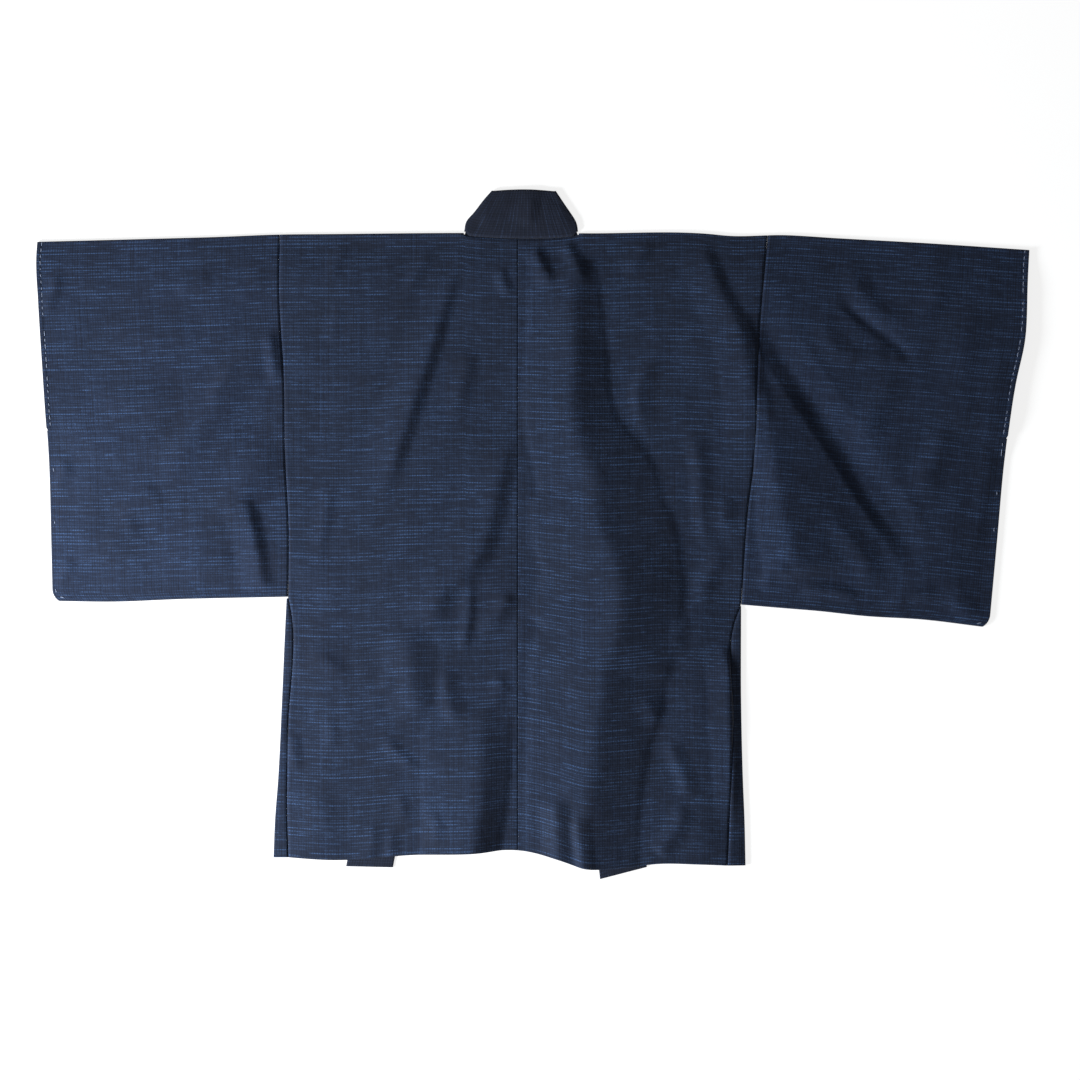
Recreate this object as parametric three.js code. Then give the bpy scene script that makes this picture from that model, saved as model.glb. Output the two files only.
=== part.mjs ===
// Haori jacket in dark blue cotton, laid out flat on its front with its back up.
// Sizes are in millimetres. +X runs to the wearer's right, +Y towards the collar, and +Z up from the surface
// that it lies on.
//
// Tables are in the jacket's own measures: "across" is taken from the centre-back seam (+ to the wearer's
// right), "out" is the same distance without its sign, and "down" is taken from the shoulder line towards
// the hem.
import * as THREE from 'three';

// ---------------------------------------------------------------- driving dimensions
const CLOTH = 1.2;            // wall of one layer of cloth
const COLLAR_WALL = 2.0;      // wall of the collar, whose cloth is folded double and pressed
const SEAM_GAP = 0.3;         // room between two pieces at a seam
const LAYER_RISE = 2.6;       // underside of the upper layer, above the floor
const FOLD_BULGE = 1.3;       // how far a folded edge rounds out past the flat cloth
const FOLD_STEPS = 4;         // facets round a folded edge
const COLLAR_WIDTH = 66;      // from the sewn edge to the free edge
const CORNER_RADIUS = 17;     // rounded lower outer corner of a sleeve
const CUFF_OPENING = 265;     // open part of the cuff, from the shoulder fold down
const GUSSET_TOP_ROOM = 12;   // the gusset starts this far below the armhole
const RELIEF_EASE = 32;       // cloth lies flat at a folded edge and rises over this distance

const COLOURS = { body: 0x2c3850, sleeve: 0x2b364d, gusset: 0x28324a, collar: 0x252d40 };
const ROUGHNESS = 0.9;

// ---------------------------------------------------------------- cut of the jacket
// Fold along the shoulders and the tops of both sleeves.
const SHOULDER = [
  { across: -672, down: 11 }, { across: -520, down: 7 }, { across: -415, down: 4 }, { across: -340, down: 1 },
  { across: -250, down: 0 }, { across: -100, down: -1.4 }, { across: 100, down: -1 },
  { across: 270, down: 0 },
  { across: 295, down: 2.4 }, { across: 375, down: 1.6 }, { across: 450, down: 6 }, { across: 560, down: 12 },
  { across: 717, down: 22.4 },
];

// Bottom edge of the back, from side fold to side fold.
const BACK_HEM = [
  { across: -341, down: 871 }, { across: -250, down: 876 }, { across: -150, down: 869 },
  { across: -46, down: 865 },
  { across: -20, down: 862 }, { across: 8, down: 863 }, { across: 55, down: 874 }, { across: 95, down: 887 },
  { across: 150, down: 886 }, { across: 200, down: 881 }, { across: 256, down: 882 },
  { across: 320, down: 885 },
];

// Where the collar is sewn to the back of the neck.
const NECK_SEAM = [
  { across: -76, down: 2 }, { across: -56, down: 4 }, { across: 0, down: 6.5 }, { across: 64, down: 5 },
  { across: 88, down: 2 },
];

// Each side's seams and outlines, from the shoulder down.
const CUT = {
  left: {
    sign: -1,
    neckOut: 76,
    armhole: [
      { down: 0, out: 332 }, { down: 75, out: 333 }, { down: 215, out: 326 }, { down: 300, out: 325 },
      { down: 420, out: 319.5 }, { down: 508, out: 320.6 },
    ],
    backSeam: [
      { down: 508, out: 320.6 }, { down: 520, out: 318 }, { down: 700, out: 321 }, { down: 803, out: 322 },
      { down: 876, out: 320 },
    ],
    sideFold: [
      { down: 508, out: 322.5 }, { down: 560, out: 325 }, { down: 652, out: 329 }, { down: 765, out: 334.6 },
      { down: 820, out: 338.8 }, { down: 876, out: 341 },
    ],
    frontSeam: [{ down: 508, out: 320.6 }, { down: 520, out: 315 }, { down: 876, out: 295 }],
    cuff: [
      { down: 11, out: 671 }, { down: 31, out: 672 }, { down: 95, out: 669 }, { down: 210, out: 662 },
      { down: 320, out: 655 }, { down: 430, out: 652 }, { down: 515, out: 650 },
    ],
    sleeveBottom: [
      { out: 320, down: 508 }, { out: 420, down: 510 }, { out: 465, down: 511 }, { out: 580, down: 515 },
      { out: 650, down: 514 },
    ],
    collarEnd: { sewn: { across: -239.4, down: 885 }, free: { across: -173.6, down: 886.5 } },
    collarFold: [
      { across: -74, down: -3 }, { across: -71, down: -17 }, { across: -60, down: -30 },
      { across: -47, down: -47 }, { across: -35.5, down: -60 },
    ],
    frontTurn: -10.7,
  },
  right: {
    sign: 1,
    neckOut: 88,
    armhole: [
      { down: 0, out: 351 }, { down: 80, out: 343 }, { down: 210, out: 334.6 }, { down: 260, out: 334 },
      { down: 325, out: 330 }, { down: 390, out: 322 }, { down: 519, out: 313.6 },
    ],
    backSeam: [
      { down: 519, out: 313.6 }, { down: 531, out: 308.5 }, { down: 686, out: 302.4 },
      { down: 885, out: 294 },
    ],
    sideFold: [
      { down: 519, out: 313.8 }, { down: 652, out: 313.8 }, { down: 765, out: 316.4 },
      { down: 820, out: 318.6 },
      { down: 885, out: 320 },
    ],
    frontSeam: [{ down: 519, out: 313.6 }, { down: 531, out: 307 }, { down: 885, out: 278 }],
    cuff: [
      { down: 22, out: 716.8 }, { down: 68, out: 714 }, { down: 150, out: 709.8 }, { down: 210, out: 697 },
      { down: 320, out: 682 }, { down: 430, out: 672 }, { down: 549, out: 661 },
    ],
    sleeveBottom: [
      { out: 313, down: 519 }, { out: 374, down: 524 }, { out: 424, down: 528 }, { out: 491, down: 535 },
      { out: 575, down: 540 }, { out: 661, down: 550 },
    ],
    collarEnd: { sewn: { across: 182, down: 886 }, free: { across: 116.2, down: 903 } },
    collarFold: [
      { across: 85.5, down: -3 }, { across: 84, down: -13 }, { across: 79.8, down: -22 },
      { across: 67.2, down: -40.6 }, { across: 54.6, down: -59.5 },
    ],
    frontTurn: -6,
  },
};

// The largest folds of the upper layer. Each ridge runs from, through and to a point [across, down], stands up
// by its height, and slopes away over its reach to the wearer's left and right. fadeStart and fadeEnd are the
// parts of its length over which it rises and dies out.
const FOLDS = [
  {
    from: [74, 60], via: [134, 470], to: [100, 900],
    height: 12, left: 85, right: 125, fadeStart: 0.2, fadeEnd: 0,
  },
  {
    from: [-96, 40], via: [-135, 190], to: [-180, 350],
    height: 6, left: 90, right: 32, fadeStart: 0.4, fadeEnd: 0.5,
  },
  {
    from: [-14, 290], via: [-45, 450], to: [-108, 570],
    height: 6, left: 70, right: 34, fadeStart: 0.4, fadeEnd: 0.3,
  },
  {
    from: [-60, 640], via: [-52, 760], to: [-58, 880],
    height: 7, left: 70, right: 40, fadeStart: 0.4, fadeEnd: 0,
  },
  {
    from: [262, 20], via: [300, 110], to: [322, 330],
    height: 6, left: 70, right: 34, fadeStart: 0.3, fadeEnd: 0.6,
  },
  {
    from: [352, 150], via: [372, 330], to: [400, 480],
    height: 9, left: 42, right: 95, fadeStart: 0.4, fadeEnd: 0.4,
  },
  {
    from: [455, 120], via: [545, 250], to: [610, 430],
    height: 8, left: 75, right: 85, fadeStart: 0.4, fadeEnd: 0.4,
  },
  {
    from: [-350, 110], via: [-430, 235], to: [-520, 345],
    height: 5, left: 50, right: 50, fadeStart: 0.3, fadeEnd: 0.4,
  },
  {
    from: [-340, 300], via: [-430, 380], to: [-560, 460],
    height: 5, left: 45, right: 45, fadeStart: 0.2, fadeEnd: 0.4,
  },
  {
    from: [-290, 560], via: [-230, 640], to: [-150, 560],
    height: 5, left: 50, right: 50, fadeStart: 0.3, fadeEnd: 0.4,
  },
  {
    from: [250, 560], via: [232, 700], to: [262, 850],
    height: 6, left: 45, right: 40, fadeStart: 0.3, fadeEnd: 0.3,
  },
];

// Facets of each piece.
const NECK_COLUMNS = 3;
const PANEL_COLUMNS = 8;
const SLEEVE_COLUMNS = 10;
const SLEEVE_OPEN_ROWS = 6;
const SLEEVE_CLOSED_ROWS = 4;
const SLEEVE_CORNER_ROWS = 3;
const GUSSET_ROWS = 10;
const COLLAR_COLUMNS = 4;
const COLLAR_FAN = [4, 14, 28, 48, 76];   // distances below the neck where the turning collar has a section
const COLLAR_FRONT_ROWS = 10;
const FOLD_SAMPLES = 16;

const FRONT_MIDDLE = CLOTH / 2;
const BACK_MIDDLE = LAYER_RISE + CLOTH / 2;
const FOLD_INSET = FOLD_BULGE + CLOTH / 2;
const HALF_GAP = SEAM_GAP / 2;

// ---------------------------------------------------------------- small helpers
const mix = (a, b, t) => a + (b - a) * t;
const smooth = (t) => t * t * (3 - 2 * t);
const clamp01 = (t) => Math.min(1, Math.max(0, t));

// Reads one column of a table against another, in straight lines between rows.
function lookUp(table, key, value, at) {
  let row = 1;
  while (row < table.length - 1 && at > table[row][key]) row += 1;
  const low = table[row - 1];
  const high = table[row];
  return mix(low[value], high[value], clamp01((at - low[key]) / (high[key] - low[key])));
}

const shoulderAt = (across) => lookUp(SHOULDER, 'across', 'down', across);
const hemAt = (across) => lookUp(BACK_HEM, 'across', 'down', across);

// Shortest distance from a point to a run of points, with the side it lies on and how far along it is.
function nearest(line, across, down) {
  let best = { distance: Infinity, side: 1, along: 0 };
  for (let k = 1; k < line.length; k += 1) {
    const [x0, y0] = line[k - 1];
    const [dx, dy] = [line[k][0] - x0, line[k][1] - y0];
    const t = clamp01(((across - x0) * dx + (down - y0) * dy) / (dx * dx + dy * dy));
    const distance = Math.hypot(across - x0 - dx * t, down - y0 - dy * t);
    if (distance < best.distance) {
      const turn = (across - x0) * dy - (down - y0) * dx;
      best = { distance, side: Math.sign(turn), along: (k - 1 + t) / (line.length - 1) };
    }
  }
  return best;
}

// ---------------------------------------------------------------- relief of the upper layer
// A fold's ridge line: a quadratic curve from its first point, through its middle point, to its last.
function ridgeLine({ from, via, to }) {
  const line = [];
  for (let k = 0; k <= FOLD_SAMPLES; k += 1) {
    const t = k / FOLD_SAMPLES;
    const bend = 2 * t * (1 - t);
    line.push([0, 1].map((c) => mix(from[c], to[c], t) + bend * (2 * via[c] - from[c] - to[c])));
  }
  return line;
}

const RIDGES = FOLDS.map((fold) => ({ ...fold, line: ridgeLine(fold) }));

// Edges where the two layers are one folded or closed piece, so the upper layer comes down to them.
function closedEdges() {
  const edges = [SHOULDER.map(({ across, down }) => [across, down])];
  for (const { sign, sideFold, sleeveBottom, cuff } of Object.values(CUT)) {
    edges.push(sideFold.map(({ down, out }) => [sign * out, down]));
    edges.push(sleeveBottom.map(({ down, out }) => [sign * out, down]));
    const closedCuff = cuff.filter(({ down }) => down > CUFF_OPENING);
    edges.push(closedCuff.map(({ down, out }) => [sign * out, down]));
  }
  return edges;
}

const CLOSED_EDGES = closedEdges();

function reliefAt(across, down) {
  const edgeDistance = Math.min(...CLOSED_EDGES.map((edge) => nearest(edge, across, down).distance));
  let height = 0;
  for (const ridge of RIDGES) {
    const { distance, side, along } = nearest(ridge.line, across, down);
    const reach = side > 0 ? ridge.right : ridge.left;
    const start = ridge.fadeStart > 0 ? smooth(clamp01(along / ridge.fadeStart)) : 1;
    const end = ridge.fadeEnd > 0 ? smooth(clamp01((1 - along) / ridge.fadeEnd)) : 1;
    height += ridge.height * start * end * smooth(clamp01(1 - distance / reach));
  }
  return height * smooth(clamp01(edgeDistance / RELIEF_EASE));
}

const backPoint = (across, down) => new THREE.Vector3(across, -down, BACK_MIDDLE + reliefAt(across, down));
const frontPoint = (across, down) => new THREE.Vector3(across, -down, FRONT_MIDDLE);

// ---------------------------------------------------------------- a sheet of cloth and its wall
// The middle surface of a piece of cloth, as quads. Seen from its outer side, a quad's corners run
// anticlockwise.
class Sheet {
  constructor() {
    this.points = [];
    this.quads = [];
  }

  // Adds rows of points and returns their numbers.
  grid(rows) {
    return rows.map((row) => row.map((point) => this.points.push(point) - 1));
  }

  // Joins neighbouring rows of point numbers with quads.
  join(rows, flip = false) {
    for (let r = 1; r < rows.length; r += 1) {
      for (let c = 1; c < rows[r].length; c += 1) {
        const quad = [rows[r - 1][c - 1], rows[r][c - 1], rows[r][c], rows[r - 1][c]];
        this.quads.push(flip ? quad.reverse() : quad);
      }
    }
  }

  // Rows of points that round a folded edge, between a row of the lower layer and one of the upper layer.
  foldedRows(lower, upper, outward, bulge = FOLD_BULGE) {
    const rows = [lower];
    for (let step = 1; step < FOLD_STEPS; step += 1) {
      const angle = Math.PI * (step / FOLD_STEPS - 0.5);
      const points = lower.map((number, k) => {
        const low = this.points[number];
        const high = this.points[upper[k]];
        const point = low.clone().lerp(high, (Math.sin(angle) + 1) / 2);
        return point.addScaledVector(outward[k], bulge * Math.cos(angle));
      });
      rows.push(this.grid([points])[0]);
    }
    rows.push(upper);
    return rows;
  }

  // Gives the sheet its thickness: an outer face, an inner face and a rim round every open edge.
  wall(thickness) {
    const normals = this.points.map(() => new THREE.Vector3());
    for (const [a, b, c, d] of this.quads) {
      const across = this.points[c].clone().sub(this.points[a]);
      const normal = across.cross(this.points[d].clone().sub(this.points[b])).normalize();
      for (const number of [a, b, c, d]) normals[number].add(normal);
    }
    const count = this.points.length;
    const positions = [];
    for (const side of [1, -1]) {
      this.points.forEach((point, k) => {
        positions.push(...point.clone().addScaledVector(normals[k].normalize(), (side * thickness) / 2));
      });
    }
    const triangles = [];
    const edges = new Map();
    for (const [a, b, c, d] of this.quads) {
      triangles.push(a, b, c, a, c, d);
      triangles.push(count + a, count + c, count + b, count + a, count + d, count + c);
      for (const [p, q] of [[a, b], [b, c], [c, d], [d, a]]) {
        if (!edges.delete(`${q} ${p}`)) edges.set(`${p} ${q}`, [p, q]);
      }
    }
    for (const [p, q] of edges.values()) {
      triangles.push(p, count + p, count + q, p, count + q, q);
    }
    const geometry = new THREE.BufferGeometry();
    geometry.setAttribute('position', new THREE.Float32BufferAttribute(positions, 3));
    geometry.setIndex(triangles);
    geometry.computeVertexNormals();
    return geometry;
  }
}

// ---------------------------------------------------------------- body: one length of cloth over the shoulder
// Seam of the collar on the front, from the neck down to the collar's end.
function collarSeam(cut, down) {
  const { sewn } = cut.collarEnd;
  const neckAcross = cut.sign * (cut.neckOut - 2);
  return mix(neckAcross, sewn.across, down / sewn.down);
}

function backSideAt(cut, down) {
  const armholeEnd = cut.backSeam[0].down;
  const table = down < armholeEnd ? cut.armhole : cut.backSeam;
  return cut.sign * (lookUp(table, 'down', 'out', down) - HALF_GAP);
}

function frontSideAt(cut, down) {
  const armholeEnd = cut.frontSeam[0].down;
  const table = down < armholeEnd ? cut.armhole : cut.frontSeam;
  return cut.sign * (lookUp(table, 'down', 'out', down) - HALF_GAP);
}

// Depth of each row as a share of the sleeve's depth: the cuff's open part, its sewn part and the corner.
function sleeveShares(cut) {
  const depth = cut.cuff[cut.cuff.length - 1].down - cut.cuff[0].down;
  const openShare = CUFF_OPENING / depth;
  const cornerTop = 1 - CORNER_RADIUS / depth;
  const shares = [];
  for (let r = 0; r < SLEEVE_OPEN_ROWS; r += 1) shares.push(openShare * (r / SLEEVE_OPEN_ROWS));
  for (let r = 0; r < SLEEVE_CLOSED_ROWS; r += 1) {
    shares.push(mix(openShare, cornerTop, r / SLEEVE_CLOSED_ROWS));
  }
  for (let r = 0; r <= SLEEVE_CORNER_ROWS; r += 1) {
    shares.push(mix(cornerTop, 1, Math.sin((Math.PI / 2) * (r / SLEEVE_CORNER_ROWS))));
  }
  return shares;
}

// Depths of the body's rows at its side: in line with the sleeve's rows, then with the gusset's rows.
function sideStations(cut) {
  const top = shoulderAt(cut.sign * cut.armhole[0].out) + FOLD_INSET;
  const armholeEnd = cut.backSeam[0].down;
  const hem = hemAt(cut.sign * cut.backSeam[cut.backSeam.length - 1].out);
  const stations = sleeveShares(cut).map((share) => mix(top, armholeEnd - FOLD_INSET, share));
  stations.push(armholeEnd);
  for (let r = 0; r <= GUSSET_ROWS; r += 1) {
    stations.push(mix(armholeEnd + GUSSET_TOP_ROOM, hem, r / GUSSET_ROWS));
  }
  return stations;
}

// The same depths as shares of the way from the shoulder fold to the hem.
function panelShares(cut) {
  const stations = sideStations(cut);
  const [top, hem] = [stations[0], stations[stations.length - 1]];
  return stations.map((station) => (station - top) / (hem - top));
}

// Columns run from the centre-back seam to the side; the first NECK_COLUMNS of them end at the neck seam.
function backRows(cut) {
  const neckShare = cut.neckOut / cut.armhole[0].out;
  const shares = [];
  for (let c = 0; c < NECK_COLUMNS; c += 1) shares.push((neckShare * c) / NECK_COLUMNS);
  for (let c = 0; c <= PANEL_COLUMNS; c += 1) shares.push(mix(neckShare, 1, c / PANEL_COLUMNS));
  return panelShares(cut).map((depthShare) => shares.map((share, c) => {
    const guess = share * backSideAt(cut, depthShare * hemAt(0));
    const neckSeam = lookUp(NECK_SEAM, 'across', 'down', guess) + HALF_GAP;
    const top = c < NECK_COLUMNS ? neckSeam : shoulderAt(guess) + FOLD_INSET;
    const down = mix(top, hemAt(guess), depthShare);
    return backPoint(share * backSideAt(cut, down) + cut.sign * HALF_GAP * (1 - share), down);
  }));
}

// Columns run from the collar seam to the side, in line with the back's columns beyond the neck.
function frontRows(cut) {
  return panelShares(cut).map((depthShare) => {
    const row = [];
    for (let c = 0; c <= PANEL_COLUMNS; c += 1) {
      const seamAt = (down) => collarSeam(cut, down) + cut.sign * HALF_GAP;
      const acrossAt = (down) => mix(seamAt(down), frontSideAt(cut, down), c / PANEL_COLUMNS);
      const guess = acrossAt(depthShare * hemAt(0));
      const down = mix(shoulderAt(guess) + FOLD_INSET, hemAt(guess), depthShare);
      row.push(frontPoint(acrossAt(down), down));
    }
    return row;
  });
}

function bodyGeometry(cut) {
  const sheet = new Sheet();
  const back = sheet.grid(backRows(cut));
  const front = sheet.grid(frontRows(cut));
  const backTop = back[0].slice(NECK_COLUMNS);
  const outward = backTop.map(() => new THREE.Vector3(0, 1, 0));
  const fold = sheet.foldedRows(front[0], backTop, outward);
  const flip = cut.sign < 0;
  sheet.join(back, flip);
  sheet.join(fold, flip);
  sheet.join([...front].reverse(), flip);
  return sheet.wall(CLOTH);
}

// ---------------------------------------------------------------- sleeve: one length folded at the shoulder
// How far the rounded corner cuts in from the cuff line, at a height above the sleeve's bottom edge.
function cornerInset(above) {
  if (above >= CORNER_RADIUS) return 0;
  return CORNER_RADIUS - Math.sqrt(CORNER_RADIUS ** 2 - (CORNER_RADIUS - above) ** 2);
}

function sleeveGeometry(cut) {
  const sheet = new Sheet();
  const cuffFoot = cut.cuff[cut.cuff.length - 1];
  const shares = sleeveShares(cut);
  const lastRow = shares.length - 1;
  const cuffOutward = [];
  const layer = (makePoint) => sheet.grid(shares.map((share, r) => {
    const closed = r >= SLEEVE_OPEN_ROWS;
    const row = [];
    for (let c = 0; c <= SLEEVE_COLUMNS; c += 1) {
      const part = c / SLEEVE_COLUMNS;
      const rough = share * cuffFoot.down;
      const [inner, outer] = [cut.armhole, cut.cuff].map((edge) => lookUp(edge, 'down', 'out', rough));
      const guess = mix(inner, outer, part);
      const top = shoulderAt(cut.sign * guess) + FOLD_INSET;
      const bottom = lookUp(cut.sleeveBottom, 'out', 'down', guess) - FOLD_INSET;
      const down = mix(top, bottom, share);
      const above = bottom + FOLD_INSET - down;
      const steep = Math.min(1, Math.max(0, (CORNER_RADIUS - above) / CORNER_RADIUS));
      const outward = new THREE.Vector3(cut.sign * Math.sqrt(1 - steep ** 2), -steep, 0);
      const foldInset = closed ? FOLD_INSET * Math.abs(outward.x) : 0;
      const cuffOut = lookUp(cut.cuff, 'down', 'out', down) - cornerInset(above) - foldInset;
      const out = mix(lookUp(cut.armhole, 'down', 'out', down) + HALF_GAP, cuffOut, part);
      row.push(makePoint(cut.sign * out, down));
      if (c === SLEEVE_COLUMNS) cuffOutward[r] = outward;
    }
    return row;
  }));
  const back = layer(backPoint);
  const front = layer(frontPoint);
  const up = back[0].map(() => new THREE.Vector3(0, 1, 0));
  const down = up.map((direction) => direction.clone().negate());
  down[SLEEVE_COLUMNS] = cuffOutward[lastRow];
  const shoulderFold = sheet.foldedRows(front[0], back[0], up);
  const bottomFold = sheet.foldedRows(front[lastRow], back[lastRow], down);
  const flip = cut.sign < 0;
  sheet.join(back, flip);
  sheet.join([...front].reverse(), flip);
  sheet.join(shoulderFold, flip);
  sheet.join([...bottomFold].reverse(), flip);

  // The sewn part of the cuff shares its last corner with the fold along the bottom.
  const closedRows = shares.map((share, r) => r).slice(SLEEVE_OPEN_ROWS, lastRow);
  const column = (rows) => closedRows.map((r) => rows[r][SLEEVE_COLUMNS]);
  const cuffFold = sheet.foldedRows(column(front), column(back), closedRows.map((r) => cuffOutward[r]));
  cuffFold.forEach((row, step) => row.push(bottomFold[step][SLEEVE_COLUMNS]));
  sheet.join(cuffFold, flip);
  return sheet.wall(CLOTH);
}

// ---------------------------------------------------------------- gusset: a long wedge folded along the side
function gussetGeometry(cut) {
  const sheet = new Sheet();
  const limbs = { lowerSeam: [], lowerFold: [], upperFold: [], upperSeam: [] };
  for (const down of sideStations(cut).slice(-GUSSET_ROWS - 1)) {
    const fold = cut.sign * (lookUp(cut.sideFold, 'down', 'out', down) - FOLD_INSET);
    const backSeam = cut.sign * (lookUp(cut.backSeam, 'down', 'out', down) + HALF_GAP);
    const frontSeam = cut.sign * (lookUp(cut.frontSeam, 'down', 'out', down) + HALF_GAP);
    limbs.lowerSeam.push(frontPoint(frontSeam, down));
    limbs.lowerFold.push(frontPoint(fold, down));
    limbs.upperFold.push(backPoint(fold, down));
    limbs.upperSeam.push(backPoint(backSeam, down));
  }
  const [lowerSeam, lowerFold, upperFold, upperSeam] = sheet.grid(Object.values(limbs));
  const outward = lowerFold.map(() => new THREE.Vector3(cut.sign, 0, 0));
  const fold = sheet.foldedRows(lowerFold, upperFold, outward);
  const flip = cut.sign > 0;
  sheet.join([lowerSeam, ...fold, upperSeam], flip);
  return sheet.wall(CLOTH);
}

// ---------------------------------------------------------------- collar: one band from hem to hem
const collarLower = (across, down) => new THREE.Vector3(across, -down, COLLAR_WALL / 2);
const collarUpper = (across, down) => new THREE.Vector3(across, -down, LAYER_RISE + COLLAR_WALL / 2);

// Sections of one front, from just below the neck to its end. The band turns from the neck fold to its slant.
function collarFront(cut) {
  const { sewn, free } = cut.collarEnd;
  const fold = cut.collarFold;
  const foldFree = fold[COLLAR_COLUMNS];
  const foldAngle = Math.atan2(-(foldFree.down - fold[0].down), Math.abs(foldFree.across - fold[0].across));
  const runAngle = THREE.MathUtils.degToRad(cut.frontTurn);
  const fanEnd = COLLAR_FAN[COLLAR_FAN.length - 1];
  const section = (sewnPoint, freePoint) => {
    const row = [];
    for (let c = 0; c <= COLLAR_COLUMNS; c += 1) {
      const part = c / COLLAR_COLUMNS;
      row.push(collarLower(mix(sewnPoint[0], freePoint[0], part), mix(sewnPoint[1], freePoint[1], part)));
    }
    return row;
  };
  const seamAt = (down) => collarSeam(cut, down) - cut.sign * HALF_GAP;
  const freeFrom = (down, angle) => [
    seamAt(down) - cut.sign * COLLAR_WIDTH * Math.cos(angle),
    down - COLLAR_WIDTH * Math.sin(angle),
  ];
  const fan = COLLAR_FAN.map((down, k) => {
    const turned = smooth((k + 1) / COLLAR_FAN.length);
    return section([seamAt(down), down], freeFrom(down, mix(foldAngle, runAngle, turned)));
  });
  const runStart = freeFrom(fanEnd, runAngle);
  const run = [];
  for (let r = 1; r <= COLLAR_FRONT_ROWS; r += 1) {
    const part = r / COLLAR_FRONT_ROWS;
    const down = mix(fanEnd, sewn.down, part);
    const freePoint = [mix(runStart[0], free.across, part), mix(runStart[1], free.down, part)];
    run.push(section([seamAt(down), down], freePoint));
  }
  return [...fan, ...run];
}

// Sections of the collar behind the neck, in line with the body's columns there.
function neckStations() {
  const stations = [0];
  for (let c = 1; c < NECK_COLUMNS; c += 1) {
    stations.unshift((-CUT.left.neckOut * c) / NECK_COLUMNS);
    stations.push((CUT.right.neckOut * c) / NECK_COLUMNS);
  }
  return stations;
}

// The fold beside the neck, drawn in from its outline by the room that its rounding takes.
function collarFoldPoints(cut, makePoint, inset) {
  return cut.collarFold.map(({ across, down }) => makePoint(across - cut.sign * inset, down));
}

function collarGeometry() {
  const sheet = new Sheet();
  const inset = FOLD_BULGE + COLLAR_WALL / 2;
  const bands = Object.fromEntries(Object.entries(CUT).map(([side, cut]) => {
    const lowerFold = collarFoldPoints(cut, collarLower, inset);
    const upperFold = collarFoldPoints(cut, collarUpper, inset);
    return [side, { cut, front: collarFront(cut), lowerFold, upperFold }];
  }));
  const [leftSewn, rightSewn] = [bands.left.upperFold[0].x, bands.right.upperFold[0].x];
  const [leftFree, rightFree] = [bands.left, bands.right].map((band) => band.upperFold[COLLAR_COLUMNS]);
  const backSections = neckStations().map((across) => {
    const part = (across - leftSewn) / (rightSewn - leftSewn);
    const sewn = collarUpper(across, lookUp(NECK_SEAM, 'across', 'down', across) - HALF_GAP);
    const free = leftFree.clone().lerp(rightFree, part);
    return bands.left.upperFold.map((point, c) => sewn.clone().lerp(free, c / COLLAR_COLUMNS));
  });
  const [leftLower, leftUpper] = sheet.grid([bands.left.lowerFold, bands.left.upperFold]);
  const [rightLower, rightUpper] = sheet.grid([bands.right.lowerFold, bands.right.upperFold]);
  const leftFront = sheet.grid(bands.left.front);
  const rightFront = sheet.grid(bands.right.front);
  const middle = sheet.grid(backSections);
  const outward = (sign) => leftLower.map(() => new THREE.Vector3(sign, 0, 0));
  const leftFold = sheet.foldedRows(leftLower, leftUpper, outward(-1));
  const rightFold = sheet.foldedRows(rightLower, rightUpper, outward(1));
  sheet.join([...leftFront].reverse().concat(leftFold, middle, [...rightFold].reverse(), rightFront));
  return sheet.wall(COLLAR_WALL);
}

// ---------------------------------------------------------------- the jacket
function makePiece(name, geometry, colour) {
  const mesh = new THREE.Mesh(
    geometry,
    new THREE.MeshStandardMaterial({ color: colour, roughness: ROUGHNESS, metalness: 0 }),
  );
  mesh.name = name;
  return mesh;
}

const group = new THREE.Group();
for (const [side, cut] of Object.entries(CUT)) {
  group.add(makePiece(`body_${side}`, bodyGeometry(cut), COLOURS.body));
  group.add(makePiece(`sleeve_${side}`, sleeveGeometry(cut), COLOURS.sleeve));
  group.add(makePiece(`gusset_${side}`, gussetGeometry(cut), COLOURS.gusset));
}
group.add(makePiece('collar', collarGeometry(), COLOURS.collar));

// The origin is under the middle of the jacket's box, on the surface that it lies on.
const box = new THREE.Box3().setFromObject(group);
const centre = box.getCenter(new THREE.Vector3());
group.position.set(-centre.x, -centre.y, 0);
group.updateMatrixWorld(true);

export default group;
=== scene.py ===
"""Haori jacket: the finished cloth, stitching and stage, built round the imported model."""

from collections import namedtuple

import bpy
import numpy as np
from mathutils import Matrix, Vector


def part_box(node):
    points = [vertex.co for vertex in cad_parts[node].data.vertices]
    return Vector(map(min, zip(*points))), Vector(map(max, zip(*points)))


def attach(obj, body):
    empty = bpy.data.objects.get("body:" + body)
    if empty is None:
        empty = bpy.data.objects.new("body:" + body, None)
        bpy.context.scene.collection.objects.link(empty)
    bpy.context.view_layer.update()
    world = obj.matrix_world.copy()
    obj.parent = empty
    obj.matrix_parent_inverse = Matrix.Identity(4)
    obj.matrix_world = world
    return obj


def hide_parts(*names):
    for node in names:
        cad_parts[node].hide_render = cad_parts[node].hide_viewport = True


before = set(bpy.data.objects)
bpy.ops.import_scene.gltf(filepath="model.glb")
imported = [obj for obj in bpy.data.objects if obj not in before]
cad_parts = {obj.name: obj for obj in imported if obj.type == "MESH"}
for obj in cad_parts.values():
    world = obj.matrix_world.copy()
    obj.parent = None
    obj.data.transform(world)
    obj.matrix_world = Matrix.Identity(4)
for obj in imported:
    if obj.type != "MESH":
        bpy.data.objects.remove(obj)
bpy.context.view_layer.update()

bl_info = {
    "name": "Haori Jacket",
    "version": (1, 0, 0),
    "blender": (4, 5, 0),
    "location": "View3D > Sidebar > Haori",
    "description": "Builds a haori jacket laid flat, with its folds, weave and cuff stitches",
    "category": "Object",
}

MM = 0.001

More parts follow.
